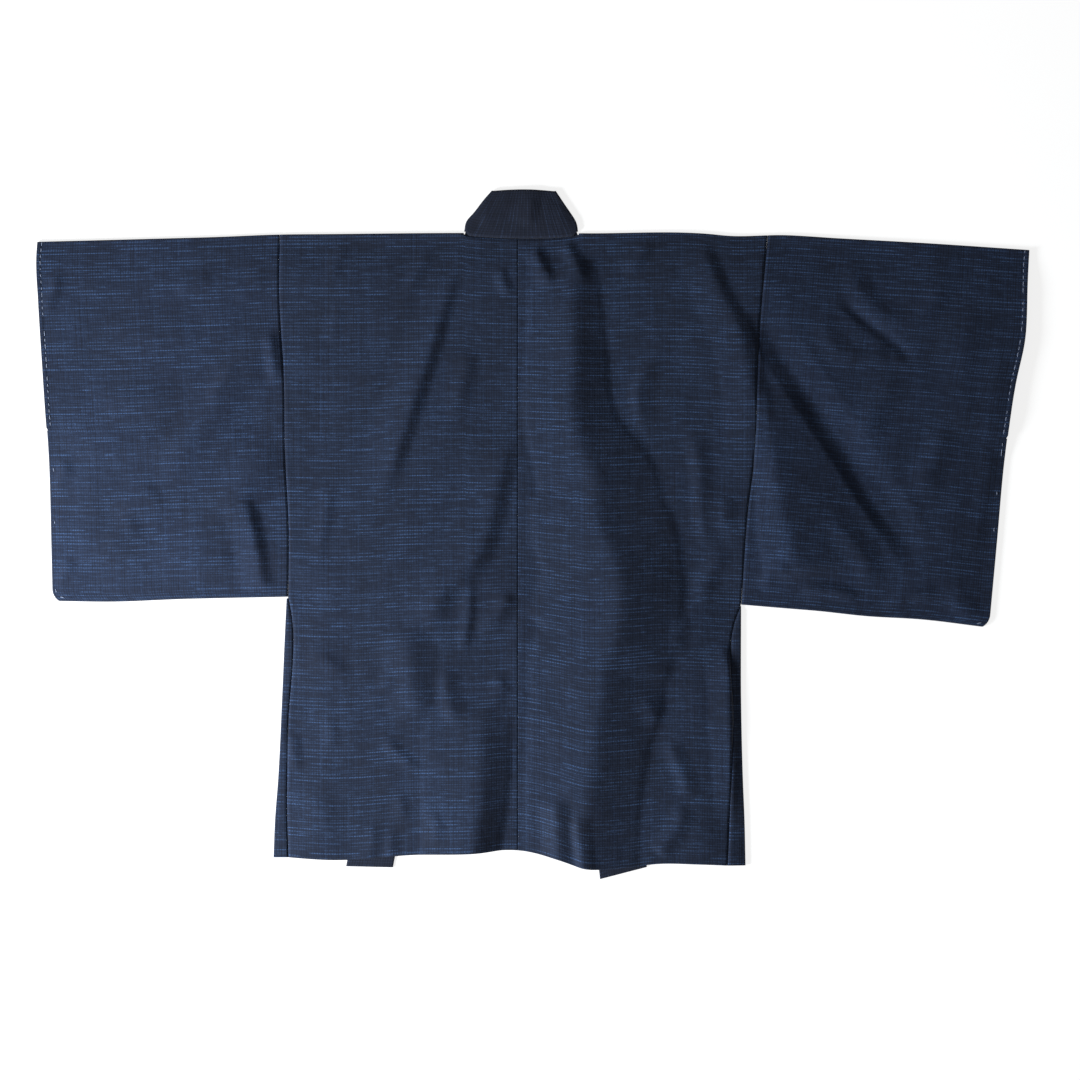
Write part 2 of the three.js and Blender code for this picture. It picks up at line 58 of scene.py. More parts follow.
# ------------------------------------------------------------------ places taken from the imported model
# "across" is measured from the centre-back seam, + to the wearer's right, and "down" from the shoulder line.
SHOULDER_RISE = 1.4  # mm that the shoulder stands above its own line beside the neck
LEFT_BOX, RIGHT_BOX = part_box("body_left"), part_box("body_right")
CENTRE_X = (LEFT_BOX[1][0] + RIGHT_BOX[0][0]) / 2
SHOULDER_Y = LEFT_BOX[1][1] - SHOULDER_RISE * MM


def table(columns, *rows):
    """A small table: one array for each named column."""
    return dict(zip(columns.split(), np.array(rows, float).T))


# ------------------------------------------------------------------ cut of the jacket, in mm
SHOULDER = table(
    "across down",
    (-672, 11), (-520, 7), (-415, 4), (-340, 1), (-250, 0), (-100, -1.4), (100, -1),
    (270, 0), (295, 2.4), (375, 1.6), (450, 6), (560, 12), (717, 22.4),
)
BACK_HEM = table(
    "across down",
    (-341, 871), (-250, 876), (-150, 869), (-46, 865), (-20, 862), (8, 863), (55, 874),
    (95, 887), (150, 886), (200, 881), (256, 882), (320, 885),
)
NECK_SEAM = table("across down", (-76, 2), (-56, 4), (0, 6.5), (64, 5), (88, 2))

Cut = namedtuple(
    "Cut",
    "side sign neck_out armhole back_seam side_fold front_seam cuff sleeve_bottom"
    " collar_sewn collar_free collar_fold front_turn",
)
LEFT = Cut(
    side="left",
    sign=-1,
    neck_out=76,
    armhole=table("down out", (0, 332), (75, 333), (215, 326), (300, 325), (420, 319.5), (508, 320.6)),
    back_seam=table("down out", (508, 320.6), (520, 318), (700, 321), (803, 322), (876, 320)),
    side_fold=table("down out", (508, 322.5), (560, 325), (652, 329), (765, 334.6), (820, 338.8), (876, 341)),
    front_seam=table("down out", (508, 320.6), (520, 315), (876, 295)),
    cuff=table("down out", (11, 671), (31, 672), (95, 669), (210, 662), (320, 655), (430, 652), (515, 650)),
    sleeve_bottom=table("out down", (320, 508), (420, 510), (465, 511), (580, 515), (650, 514)),
    collar_sewn=(-239.4, 885),
    collar_free=(-173.6, 886.5),
    collar_fold=table("across down", (-74, -3), (-71, -17), (-60, -30), (-47, -47), (-35.5, -60)),
    front_turn=-10.7,
)
RIGHT = Cut(
    side="right",
    sign=1,
    neck_out=88,
    armhole=table(
        "down out", (0, 351), (80, 343), (210, 334.6), (260, 334), (325, 330), (390, 322), (519, 313.6)
    ),
    back_seam=table("down out", (519, 313.6), (531, 308.5), (686, 302.4), (885, 294)),
    side_fold=table("down out", (519, 313.8), (652, 313.8), (765, 316.4), (820, 318.6), (885, 320)),
    front_seam=table("down out", (519, 313.6), (531, 307), (885, 278)),
    cuff=table(
        "down out", (22, 716.8), (68, 714), (150, 709.8), (210, 697), (320, 682), (430, 672), (549, 661)
    ),
    sleeve_bottom=table("out down", (313, 519), (374, 524), (424, 528), (491, 535), (575, 540), (661, 550)),
    collar_sewn=(182, 886),
    collar_free=(116.2, 903),
    collar_fold=table("across down", (85.5, -3), (84, -13), (79.8, -22), (67.2, -40.6), (54.6, -59.5)),
    front_turn=-6,
)

CUFF_OPENING = 265  # open part of the cuff, from the shoulder fold down
CORNER_RADIUS = 17  # rounded lower outer corner of a sleeve
COLLAR_WIDTH = 66
GUSSET_TOP_ROOM = 2  # the gusset starts this far below the armhole
FOLD_BULGE = 1.3  # a folded edge rounds out this far
FRONT_MIDDLE = 0.6  # heights of the middle of each layer, above the floor
BACK_MIDDLE = 3.2
SEAM_DIP = 1.1  # cloth turns down by this much at a seam, within its width
SEAM_DIP_WIDTH = 1.5
LAP_TOP_DIP, LAP_UNDER_DIP = 0.15, 1.35  # the two sides of the lapped seam down the centre back
NECK_DIP, NECK_DIP_WIDTH = 1.9, 2.0
EDGE_INSET = FOLD_BULGE + 0.6  # the flat cloth stops this far inside a folded edge
HEM_THINNING = 2.5  # the wall thins to a hem's edge over this distance
THIN_HEM = 0.4  # share of the wall's thickness left at a hem
LAYER_ROOM = 1.0  # least distance between the middles of the two layers
COLLAR_FRONT_MIDDLE = 1.0
COLLAR_BACK_MIDDLE = 3.6
HALF_GAP = 0.2  # half the room between two pieces at a seam
NECK_LAP = 0.6  # the back goes this far under the collar
CENTRE_LAP = 0.9  # the left panel lies over the right one by this much down the centre back
SEAM_STEP = 0.45  # the piece on the wearer's left stands this much above the one on the right at a seam

# Each piece has its own place on the flat map, so that no two show the same run of yarn. In mm.
BODY_FLAT, RIGHT_BODY_FLAT, SLEEVE_FLAT, GUSSET_FLAT, COLLAR_FLAT = 40, 900, 700, 1500, 2300
SHOULDER_FLAT = 8  # length of flat cloth in the fold between the two layers

# ------------------------------------------------------------------ folds, in mm
# A ridge follows its path from top to bottom, stands up by its height, and slopes away over its reach to the
# wearer's left and right. Values in a tuple change evenly along the path. fade is the share of the path over
# which it rises and dies out, and flank is 1 for straight slopes and more for hollow ones.
Fold = namedtuple("Fold", "height left right fade flank path")

BACK_FOLDS = [
    # the long billow right of the centre-back seam
    Fold((4, 9, 12, 13, 14, 16, 18, 18, 17, 16, 15, 14, 13),
         (66, 72, 76, 78, 100, 112, 132, 138, 118, 112, 102, 98, 96),
         (34, 46, 60, 78, 105, 112, 104, 98, 100, 98, 90, 84, 80), (0.04, 0), 1.15,
         [(70, 30), (78, 80), (78, 160), (78, 250), (90, 300), (110, 350), (112, 400), (130, 442), (142, 485),
          (143, 530), (134, 575), (120, 610), (118, 650), (108, 700), (101, 760), (97, 820), (98, 895)]),
    # the hollow that runs down to the hem left of the seam
    Fold((2, 7, 10, 12), (70, 90, 90, 80), (42, 48, 46, 40), (0.2, 0), 1.1,
         [(-40, 640), (-50, 690), (-52, 745), (-55, 805), (-64, 875)]),
    # the long crease from the neck to the left
    Fold((1.5, 4.5, 5.5, 5, 2), (30, 42, 50, 50, 45), (14, 17, 19, 18, 16), (0.12, 0.3), 1.4,
         [(-80, 40), (-99, 90), (-116, 145), (-133, 198), (-150, 250), (-166, 300), (-182, 350),
          (-196, 400)]),
    Fold(2.2, 28, 18, (0.3, 0.4), 1.5, [(-64, 160), (-74, 205), (-92, 272)]),
    # creases left of the seam at the small of the back
    Fold((3, 5, 6, 5), 60, (20, 24, 26, 24), (0.15, 0.25), 1.4,
         [(-4, 272), (-22, 330), (-34, 385), (-50, 438), (-72, 472), (-100, 495), (-118, 530), (-122, 560)]),
    Fold(2.4, 16, 12, (0.3, 0.3), 1.5, [(-66, 475), (-68, 540), (-78, 590)]),
    Fold(3.2, 22, 20, (0.2, 0.4), 1.5, [(-8, 500), (-28, 535), (-58, 558)]),
    Fold((2, 5, 6, 4), 46, (30, 42, 42, 30), (0.15, 0.25), 1.3,
         [(-154, 548), (-150, 590), (-144, 640), (-122, 685)]),
    Fold(3, 18, 26, (0.3, 0.3), 1.4, [(-98, 598), (-98, 645), (-82, 692)]),
    Fold(2, 20, 16, (0.3, 0.4), 1.5, [(-30, 610), (-24, 640), (-52, 672)]),
    # the left side and lower left
    Fold(1.6, 22, 14, (0.3, 0.3), 1.5, [(-258, 345), (-268, 400), (-280, 465)]),
    Fold(2.2, 20, 14, (0.3, 0.4), 1.5, [(-314, 695), (-310, 760)]),
    Fold(1.8, 26, 16, (0.4, 0.4), 1.5, [(-296, 584), (-262, 600), (-228, 628)]),
    Fold(1.6, 18, 18, (0.4, 0.4), 1.5, [(-176, 612), (-188, 640), (-214, 662)]),
    Fold(2.0, 16, 14, (0.3, 0.4), 1.5, [(-190, 702), (-164, 728), (-128, 760)]),
    Fold(1.4, 18, 14, (0.4, 0.4), 1.5, [(-268, 672), (-258, 700), (-270, 730)]),
    Fold(1.6, 18, 12, (0.3, 0.3), 1.5, [(-162, 780), (-160, 822)]),
    Fold(2.2, 26, 18, (0.4, 0), 1.4, [(-208, 820), (-200, 850), (-212, 880)]),
    Fold(1.8, 16, 14, (0.4, 0), 1.4, [(-176, 826), (-176, 875)]),
    Fold(1.6, 16, 14, (0.4, 0.3), 1.5, [(-130, 800), (-112, 826), (-120, 858)]),
    Fold(1.2, 30, 26, (0.4, 0.4), 1.5, [(-300, 770), (-272, 812), (-262, 858)]),
    # under the neck
    Fold(2.2, 14, 12, (0.3, 0.3), 1.4, [(-20, 44), (-20, 68), (-6, 88)]),
    Fold(3.6, 20, 15, (0.2, 0.3), 1.4, [(22, 18), (34, 46), (50, 78)]),
    Fold(3.2, 18, 14, (0.2, 0.4), 1.4, [(64, 10), (82, 40), (96, 76)]),
    Fold(1.5, 16, 14, (0.3, 0.5), 1.5, [(-116, 14), (-142, 60), (-160, 98)]),
    Fold(1.3, 18, 14, (0.3, 0.5), 1.5, [(-236, 10), (-254, 44), (-262, 84)]),
    Fold(1.2, 20, 16, (0.4, 0.4), 1.5, [(-246, 92), (-254, 128), (-262, 160)]),
    # right of the billow
    Fold(2.6, 16, 26, (0.3, 0.3), 1.5, [(200, 172), (174, 204), (170, 240), (182, 285)]),
    Fold(2.6, 18, 22, (0.3, 0.3), 1.4, [(240, 262), (254, 320), (258, 390), (268, 450)]),
    Fold((2, 4, 5, 5, 4), (40, 44, 46, 44, 34), (16, 18, 26, 30, 24), (0.1, 0.25), 1.25,
         [(252, 8), (270, 48), (288, 92), (308, 132), (320, 180), (328, 240), (326, 300), (318, 356)]),
    Fold(2.4, 30, 14, (0.4, 0.4), 1.5, [(196, 8), (170, 36), (152, 62)]),
    Fold(2.6, 22, 20, (0.3, 0.3), 1.4, [(296, 440), (270, 474), (254, 522)]),
    Fold(2.0, 16, 18, (0.3, 0.4), 1.5, [(240, 528), (228, 560), (226, 606)]),
    Fold((2, 6, 7, 5, 3), (30, 34, 36, 30, 22), (14, 14, 16, 20, 20), (0.2, 0.3), 1.2,
         [(276, 560), (296, 610), (300, 670), (302, 730), (300, 790), (296, 835)]),
    Fold(2.6, 16, 22, (0.2, 0.3), 1.4, [(210, 706), (230, 752), (244, 796)]),
    Fold(3.2, 22, 20, (0.3, 0.1), 1.4, [(240, 798), (222, 832), (196, 868)]),
    Fold(1.8, 20, 24, (0.4, 0.4), 1.5, [(176, 640), (188, 668), (204, 690)]),
    Fold(2.6, 30, 22, (0.4, 0.4), 1.4, [(302, 366), (290, 392), (284, 420)]),
    # the small dome at the hem
    Fold(5.5, 26, 22, (0.3, 0), 1.3, [(52, 786), (56, 822), (58, 880)]),
    Fold(4.0, 12, 22, (0.3, 0), 1.3, [(84, 808), (86, 842), (92, 885)]),
]

RIGHT_SLEEVE_FOLDS = [
    Fold((2, 6, 8, 10, 10, 6), (20, 26, 32, 42, 52, 52), (30, 66, 94, 120, 140, 120), (0.12, 0.12), 1.1,
         [(346, 205), (354, 255), (358, 305), (366, 355), (376, 405), (388, 450), (394, 492)]),
    # the long hollow across the sleeve
    Fold((-2, -4.5, -5, -5, -3), 26, (30, 38, 40, 38, 26), (0.15, 0.2), 1.2,
         [(344, 60), (350, 135), (382, 190), (414, 238), (456, 300), (502, 370), (548, 436), (566, 462)]),
    Fold(2.6, 22, 22, (0.2, 0.2), 1.3, [(462, 30), (482, 84), (520, 118), (556, 122), (584, 96), (604, 62)]),
    Fold(-2.4, 12, 12, (0.2, 0.3), 1.3, [(446, 88), (490, 124), (534, 158), (556, 184)]),
    Fold(2.6, 34, 30, (0.3, 0.3), 1.4, [(540, 196), (512, 226), (494, 262), (492, 300)]),
    Fold(3.0, 26, 30, (0.3, 0.3), 1.4, [(594, 262), (590, 300), (572, 336), (562, 372)]),
    Fold(2.2, 20, 18, (0.3, 0.3), 1.5, [(452, 168), (490, 172), (524, 166)]),
    Fold(2.6, 24, 26, (0.3, 0.3), 1.4, [(424, 396), (462, 424), (490, 466), (480, 500)]),
    Fold((1, 4, 4, 1), 16, 12, (0.2, 0.2), 1.3, [(392, 500), (436, 498), (484, 510)]),
    Fold((1, 3.5, 3.5, 1), 14, 12, (0.2, 0.2), 1.3, [(506, 528), (546, 506), (590, 500)]),
    Fold(3.0, 14, 16, (0.3, 0.3), 1.4, [(384, 466), (358, 474), (340, 498)]),
    Fold(2.0, 22, 22, (0.3, 0.3), 1.5, [(606, 500), (622, 524), (636, 545)]),
    Fold(1.6, 40, 40, (0.3, 0.3), 1.5, [(640, 70), (622, 180), (628, 300)]),
    Fold(1.4, 26, 30, (0.3, 0.3), 1.5, [(676, 120), (664, 240), (650, 380), (640, 480)]),
    Fold(1.8, 24, 24, (0.3, 0.3), 1.5, [(420, 110), (440, 150), (476, 200)]),
]

LEFT_SLEEVE_FOLDS = [
    Fold((2, 4, 4.5, 4, 2), 44, 44, (0.15, 0.3), 1.3,
         [(-322, 296), (-352, 320), (-374, 350), (-400, 386), (-432, 416), (-472, 444), (-520, 470)]),
    Fold((2, 3.4, 3.6, 3, 1.5), 38, 34, (0.15, 0.3), 1.3,
         [(-328, 128), (-366, 168), (-396, 200), (-420, 240), (-450, 280), (-482, 322), (-498, 352)]),
    Fold(1.8, 12, 14, (0.3, 0.3), 1.4, [(-388, 178), (-412, 206), (-434, 240)]),
    Fold((2, 5, 5, 3), 34, (14, 18, 18, 16), (0.2, 0.1), 1.3,
         [(-384, 362), (-374, 400), (-364, 445), (-354, 504)]),
    Fold(3.4, 14, 16, (0.3, 0.3), 1.4, [(-348, 132), (-342, 170), (-336, 214)]),
    Fold(1.8, 22, 14, (0.3, 0.3), 1.5, [(-424, 56), (-452, 72), (-480, 84)]),
    Fold(2.6, 16, 14, (0.3, 0.3), 1.4, [(-642, 52), (-648, 84), (-664, 116)]),
    Fold(2.4, 18, 16, (0.3, 0.3), 1.4, [(-622, 318), (-640, 342), (-656, 356)]),
    Fold(2.4, 22, 26, (0.3, 0.4), 1.4, [(-392, 448), (-430, 466), (-476, 482)]),
    Fold(2.2, 30, 40, (0.3, 0.4), 1.5, [(-500, 352), (-530, 376), (-570, 396)]),
    Fold(2.2, 26, 34, (0.3, 0.4), 1.5, [(-524, 400), (-556, 424), (-586, 462)]),
    Fold(2.0, 16, 12, (0.3, 0.3), 1.5, [(-616, 460), (-634, 476), (-648, 496)]),
    Fold(1.6, 40, 40, (0.4, 0.4), 1.5, [(-430, 120), (-500, 140), (-580, 146)]),
    Fold(1.6, 36, 36, (0.4, 0.4), 1.5, [(-460, 218), (-520, 232), (-600, 236)]),
    Fold(1.4, 30, 30, (0.4, 0.4), 1.5, [(-470, 268), (-540, 300), (-610, 308)]),
    Fold(1.4, 20, 20, (0.4, 0.4), 1.5, [(-352, 50), (-372, 78), (-398, 92)]),
]

UPPER_FOLDS = BACK_FOLDS + RIGHT_SLEEVE_FOLDS + LEFT_SLEEVE_FOLDS

# Low creases of the hidden lower layer.
LOWER_FOLDS = [
    Fold(1.0, 16, 12, (0.3, 0.3), 1.4, [(-120, 60), (-170, 210), (-190, 360)]),
    Fold(0.9, 14, 14, (0.3, 0.3), 1.4, [(-300, 260), (-262, 420), (-270, 600)]),
    Fold(1.0, 18, 12, (0.3, 0.3), 1.4, [(-250, 520), (-282, 660), (-262, 820)]),
    Fold(1.0, 14, 18, (0.3, 0.3), 1.4, [(120, 60), (180, 190), (196, 330)]),
    Fold(0.9, 14, 12, (0.3, 0.3), 1.4, [(290, 240), (250, 430), (262, 610)]),
    Fold(1.0, 16, 12, (0.3, 0.3), 1.4, [(222, 470), (240, 640), (226, 830)]),
    Fold(0.9, 22, 18, (0.3, 0.3), 1.4, [(-350, 180), (-440, 300), (-560, 400)]),
    Fold(0.8, 16, 18, (0.3, 0.3), 1.4, [(-380, 420), (-480, 440), (-600, 430)]),
    Fold(0.9, 18, 20, (0.3, 0.3), 1.4, [(360, 160), (450, 300), (560, 430)]),
    Fold(0.8, 16, 16, (0.3, 0.3), 1.4, [(400, 90), (520, 150), (640, 240)]),
]

COLLAR_FOLDS = [
    Fold((0.5, 2.2, 2.2), 30, 15, (0.1, 0.2), 1.3, [(24, -66), (20, -40), (14, -8)]),
    Fold(0.9, 14, 14, (0.3, 0.3), 1.4, [(-40, -52), (-46, -30), (-40, -8)]),
    Fold(0.8, 12, 12, (0.3, 0.3), 1.4, [(56, -44), (62, -26), (60, -8)]),
]

# Fine unevenness of the upper layer: size of its patches and its height, in mm.
RUMPLES = table("size height seed", (150, 1.6, 3), (62, 0.75, 11), (27, 0.28, 29))
LOFT = 4.0  # air under the upper layer, away from its closed edges
LOFT_EASE = 70
EDGE_EASE = 20  # the folds rise from a closed edge over this distance
LEAST_LIFT = -0.5  # the upper layer never sinks further than this below its resting height
CURVE_STEPS = 7  # samples between two points of a path
CREST_SHARE = 0.22  # a ridge's crest is rounded over this share of its narrower reach
CREST_LEAST, CREST_MOST = 2, 9


# ------------------------------------------------------------------ numbers and curves
def smooth(t):
    t = np.clip(t, 0, 1)
    return t * t * (3 - 2 * t)


def read(rows, key, value, at):
    """Reads one column of a table against another, along a smooth curve through its rows."""
    x, y = rows[key], rows[value]
    at = np.clip(np.asarray(at, float), x[0], x[-1])
    slope = np.gradient(y, x)
    k = np.clip(np.searchsorted(x, at) - 1, 0, len(x) - 2)
    step = x[k + 1] - x[k]
    t = (at - x[k]) / step
    rest = 1 - t
    near = rest * rest * ((1 + 2 * t) * y[k] + t * step * slope[k])
    far = t * t * ((3 - 2 * t) * y[k + 1] - rest * step * slope[k + 1])
    return near + far


def curve_through(points):
    """Evenly sampled smooth curve through a list of points."""
    points = np.array(points, float)
    at = np.linspace(0, len(points) - 1, (len(points) - 1) * CURVE_STEPS + 1)
    number = np.arange(len(points), dtype=float)
    return np.stack([read({"n": number, "v": column}, "n", "v", at) for column in points.T], axis=1)


def along_path(values, share):
    """A value, or a tuple of values spread evenly along a path, read at a share of its length."""
    values = np.atleast_1d(np.array(values, float))
    return np.interp(share, np.linspace(0, 1, len(values)), values)


def nearest(line, across, down):
    """Distance to a run of points, side of it (+1 is the wearer's right going down) and share along it."""
    best = np.full(across.shape, np.inf)
    side = np.ones(across.shape)
    share = np.zeros(across.shape)
    spans = len(line) - 1
    for k in range(spans):
        (x0, y0), (x1, y1) = line[k], line[k + 1]
        dx, dy = x1 - x0, y1 - y0
        rx, ry = across - x0, down - y0
        t = np.clip((rx * dx + ry * dy) / max(dx * dx + dy * dy, 1e-9), 0, 1)
        distance = np.hypot(rx - dx * t, ry - dy * t)
        closer = distance < best
        best = np.where(closer, distance, best)
        side = np.where(closer, np.where(rx * dy - ry * dx >= 0, 1.0, -1.0), side)
        share = np.where(closer, (k + t) / spans, share)
    return best, side, share


def fold_height(fold, across, down):
    line = curve_through(fold.path)
    reach = max(np.max(fold.left), np.max(fold.right))
    low, high = line.min(axis=0) - reach, line.max(axis=0) + reach
    close = (across > low[0]) & (across < high[0]) & (down > low[1]) & (down < high[1])
    height = np.zeros(across.shape)
    if not close.any():
        return height
    distance, side, share = nearest(line, across[close], down[close])
    width = np.where(side > 0, along_path(fold.right, share), along_path(fold.left, share))
    narrow = np.minimum(along_path(fold.right, share), along_path(fold.left, share))
    crest = np.clip(CREST_SHARE * narrow, CREST_LEAST, CREST_MOST)
    rounded = np.hypot(distance, crest) - crest
    profile = np.clip(1 - rounded / (np.hypot(width, crest) - crest), 0, 1) ** fold.flank
    profile = np.where(fold.flank < 1.3, profile * smooth(profile * 6), profile)
    start = smooth(share / fold.fade[0]) if fold.fade[0] else 1.0
    end = smooth((1 - share) / fold.fade[1]) if fold.fade[1] else 1.0
    height[close] = along_path(fold.height, share) * profile * start * end
    return height


def patches(across, down, size, seed):
    """Soft seeded noise from -1 to 1 with patches of a given size."""
    lattice = np.random.default_rng(int(seed)).uniform(-1, 1, (64, 64))
    x, y = across / size + 31.7, down / size + 17.3
    i, j = np.floor(x).astype(int), np.floor(y).astype(int)
    u, v = smooth(x - i), smooth(y - j)
    corner = lambda a, b: lattice[(i + a) % 64, (j + b) % 64]
    top = corner(0, 0) * (1 - u) + corner(1, 0) * u
    bottom = corner(0, 1) * (1 - u) + corner(1, 1) * u
    return top * (1 - v) + bottom * v


def closed_edges():
    """Edges where the two layers are one folded or closed piece."""
    edges = [np.stack([SHOULDER["across"], SHOULDER["down"]], axis=1)]
    for cut in (LEFT, RIGHT):
        edges.append(np.stack([cut.sign * cut.side_fold["out"], cut.side_fold["down"]], axis=1))
        edges.append(np.stack([cut.sign * cut.sleeve_bottom["out"], cut.sleeve_bottom["down"]], axis=1))
        closed = cut.cuff["down"] > CUFF_OPENING
        edges.append(np.stack([cut.sign * cut.cuff["out"][closed], cut.cuff["down"][closed]], axis=1))
    return edges


CLOSED_EDGES = closed_edges()


def edge_distance(across, down):
    return np.min([nearest(edge, across, down)[0] for edge in CLOSED_EDGES], axis=0)


def upper_lift(across, down):
    """How far the upper layer stands above its resting height."""
    edge = edge_distance(across, down)
    lift = sum(fold_height(fold, across, down) for fold in UPPER_FOLDS)
    rumple = sum(
        height * patches(across, down, size, seed)
        for size, height, seed in zip(RUMPLES["size"], RUMPLES["height"], RUMPLES["seed"])
    )
    lift = (lift + rumple) * smooth(edge / EDGE_EASE) + LOFT * smooth(edge / LOFT_EASE)
    return np.maximum(lift, LEAST_LIFT)


def lower_lift(across, down):
    edge = smooth(edge_distance(across, down) / EDGE_EASE)
    return edge * sum(fold_height(fold, across, down) for fold in LOWER_FOLDS)


def clear_of_lower(across, down, height):
    """Keeps the middle of the upper layer off the lower one, however deep its seams dip."""
    return np.maximum(height, FRONT_MIDDLE + lower_lift(across, down) + LAYER_ROOM)


def spread(length, step, edge_room):
    """Places from 0 to length, about a step apart, closer at both ends as edge_room lists."""
    start = np.array(edge_room[0], float)
    end = length - np.array(edge_room[1], float)[::-1]
    low, high = (start[-1] if len(start) else 0.0), (end[0] if len(end) else length)
    count = max(2, int(round((high - low) / step)))
    middle = np.linspace(low, high, count + 1)
    return np.unique(np.concatenate([start, middle, end]).round(4))


SEAM_ROOM = (0, 0.8, 1.8, 3.2, 5.2)  # rows of points beside a seam, from its edge
HEM_ROOM = (0, 0.8, 2.0, 4.0)
FOLD_ROOM = (0, 1.5, 3.5, 6.0)


def seam_dip(distance, depth=SEAM_DIP, width=SEAM_DIP_WIDTH):
    """How far cloth sinks beside a seam, where its edge is folded under."""
    return -depth * np.exp(-((distance / width) ** 2))


# ------------------------------------------------------------------ sheets
class Sheet:
    """The middle surface of a piece of cloth: points in mm, quads, a flat map and how full each point is."""

    def __init__(self):
        self.points, self.flat, self.full, self.quads = [], [], [], []
        self.count = 0

    def grid(self, points, flat, full=None):
        rows, columns = points.shape[:2]
        self.points.append(points.reshape(-1, 3))
        self.flat.append(flat.reshape(-1, 2))
        full = np.ones((rows, columns)) if full is None else full
        self.full.append(full.reshape(-1))
        numbers = np.arange(rows * columns).reshape(rows, columns) + self.count
        self.count += rows * columns
        return numbers

    def at(self, numbers):
        return np.concatenate(self.points)[numbers], np.concatenate(self.flat)[numbers]

    def join(self, numbers, flip=False):
        a, b = numbers[:-1, :-1], numbers[1:, :-1]
        c, d = numbers[1:, 1:], numbers[:-1, 1:]
        quad = np.stack([a, b, c, d], axis=-1).reshape(-1, 4)
        self.quads.append(quad[:, ::-1] if flip else quad)

    def fold(self, lower, upper, outward, steps=6, bulge=FOLD_BULGE):
        """Rows that round a folded edge between a row of the lower and one of the upper layer."""
        low, low_flat = self.at(lower)
        high, high_flat = self.at(upper)
        angle = np.pi * (np.arange(1, steps) / steps - 0.5)
        share = ((np.sin(angle) + 1) / 2)[:, None, None]
        points = low * (1 - share) + high * share
        points[..., :2] += bulge * np.cos(angle)[:, None, None] * outward[..., :2]
        flat = low_flat * (1 - share) + high_flat * share
        middle = self.grid(points, flat)
        return np.concatenate([lower[None], middle, upper[None]])

    def build(self, name, material, thickness):
        points = np.concatenate(self.points)
        quads = np.concatenate(self.quads)
        place = np.array([CENTRE_X, SHOULDER_Y, 0.0]) + points * np.array([MM, -MM, MM])
        mesh = bpy.data.meshes.new(name)
        mesh.from_pydata(place.tolist(), [], quads.tolist())
        layer = mesh.uv_layers.new(name="Cloth")
        flat = np.concatenate(self.flat)[quads.reshape(-1)] * MM
        layer.data.foreach_set("uv", flat.reshape(-1).astype(np.float32))
        mesh.polygons.foreach_set("use_smooth", np.ones(len(mesh.polygons), bool))
        mesh.materials.append(material)
        mesh.update()
        piece = bpy.data.objects.new(name, mesh)
        bpy.context.scene.collection.objects.link(piece)
        full = piece.vertex_groups.new(name="Full")
        weight = np.concatenate(self.full).round(2)
        for value in np.unique(weight):
            full.add(np.flatnonzero(weight == value).tolist(), float(value), "REPLACE")
        wall = piece.modifiers.new("Wall", "SOLIDIFY")
        wall.thickness = thickness * MM
        wall.offset = 0.0
        wall.use_rim = True
        wall.vertex_group = "Full"
        wall.thickness_vertex_group = 0.25
        return piece


def flat_points(across, down, height):
    return np.stack([across, down, height], axis=-1)


# ------------------------------------------------------------------ body
def seam_out(cut, down, seam):
    """Side edge of a body panel: the armhole, then the gusset's seam."""
    end = cut.armhole["down"][-1]
    above = read(cut.armhole, "down", "out", np.minimum(down, end))
    below = read(seam, "down", "out", np.maximum(down, end))
    return np.where(down < end, above, below)


def collar_seam(cut, down):
    """Across position of the collar's seam on the front, from the neck down."""
    neck = cut.sign * (cut.neck_out - 2)
    return neck + (cut.collar_sewn[0] - neck) * np.asarray(down) / cut.collar_sewn[1]


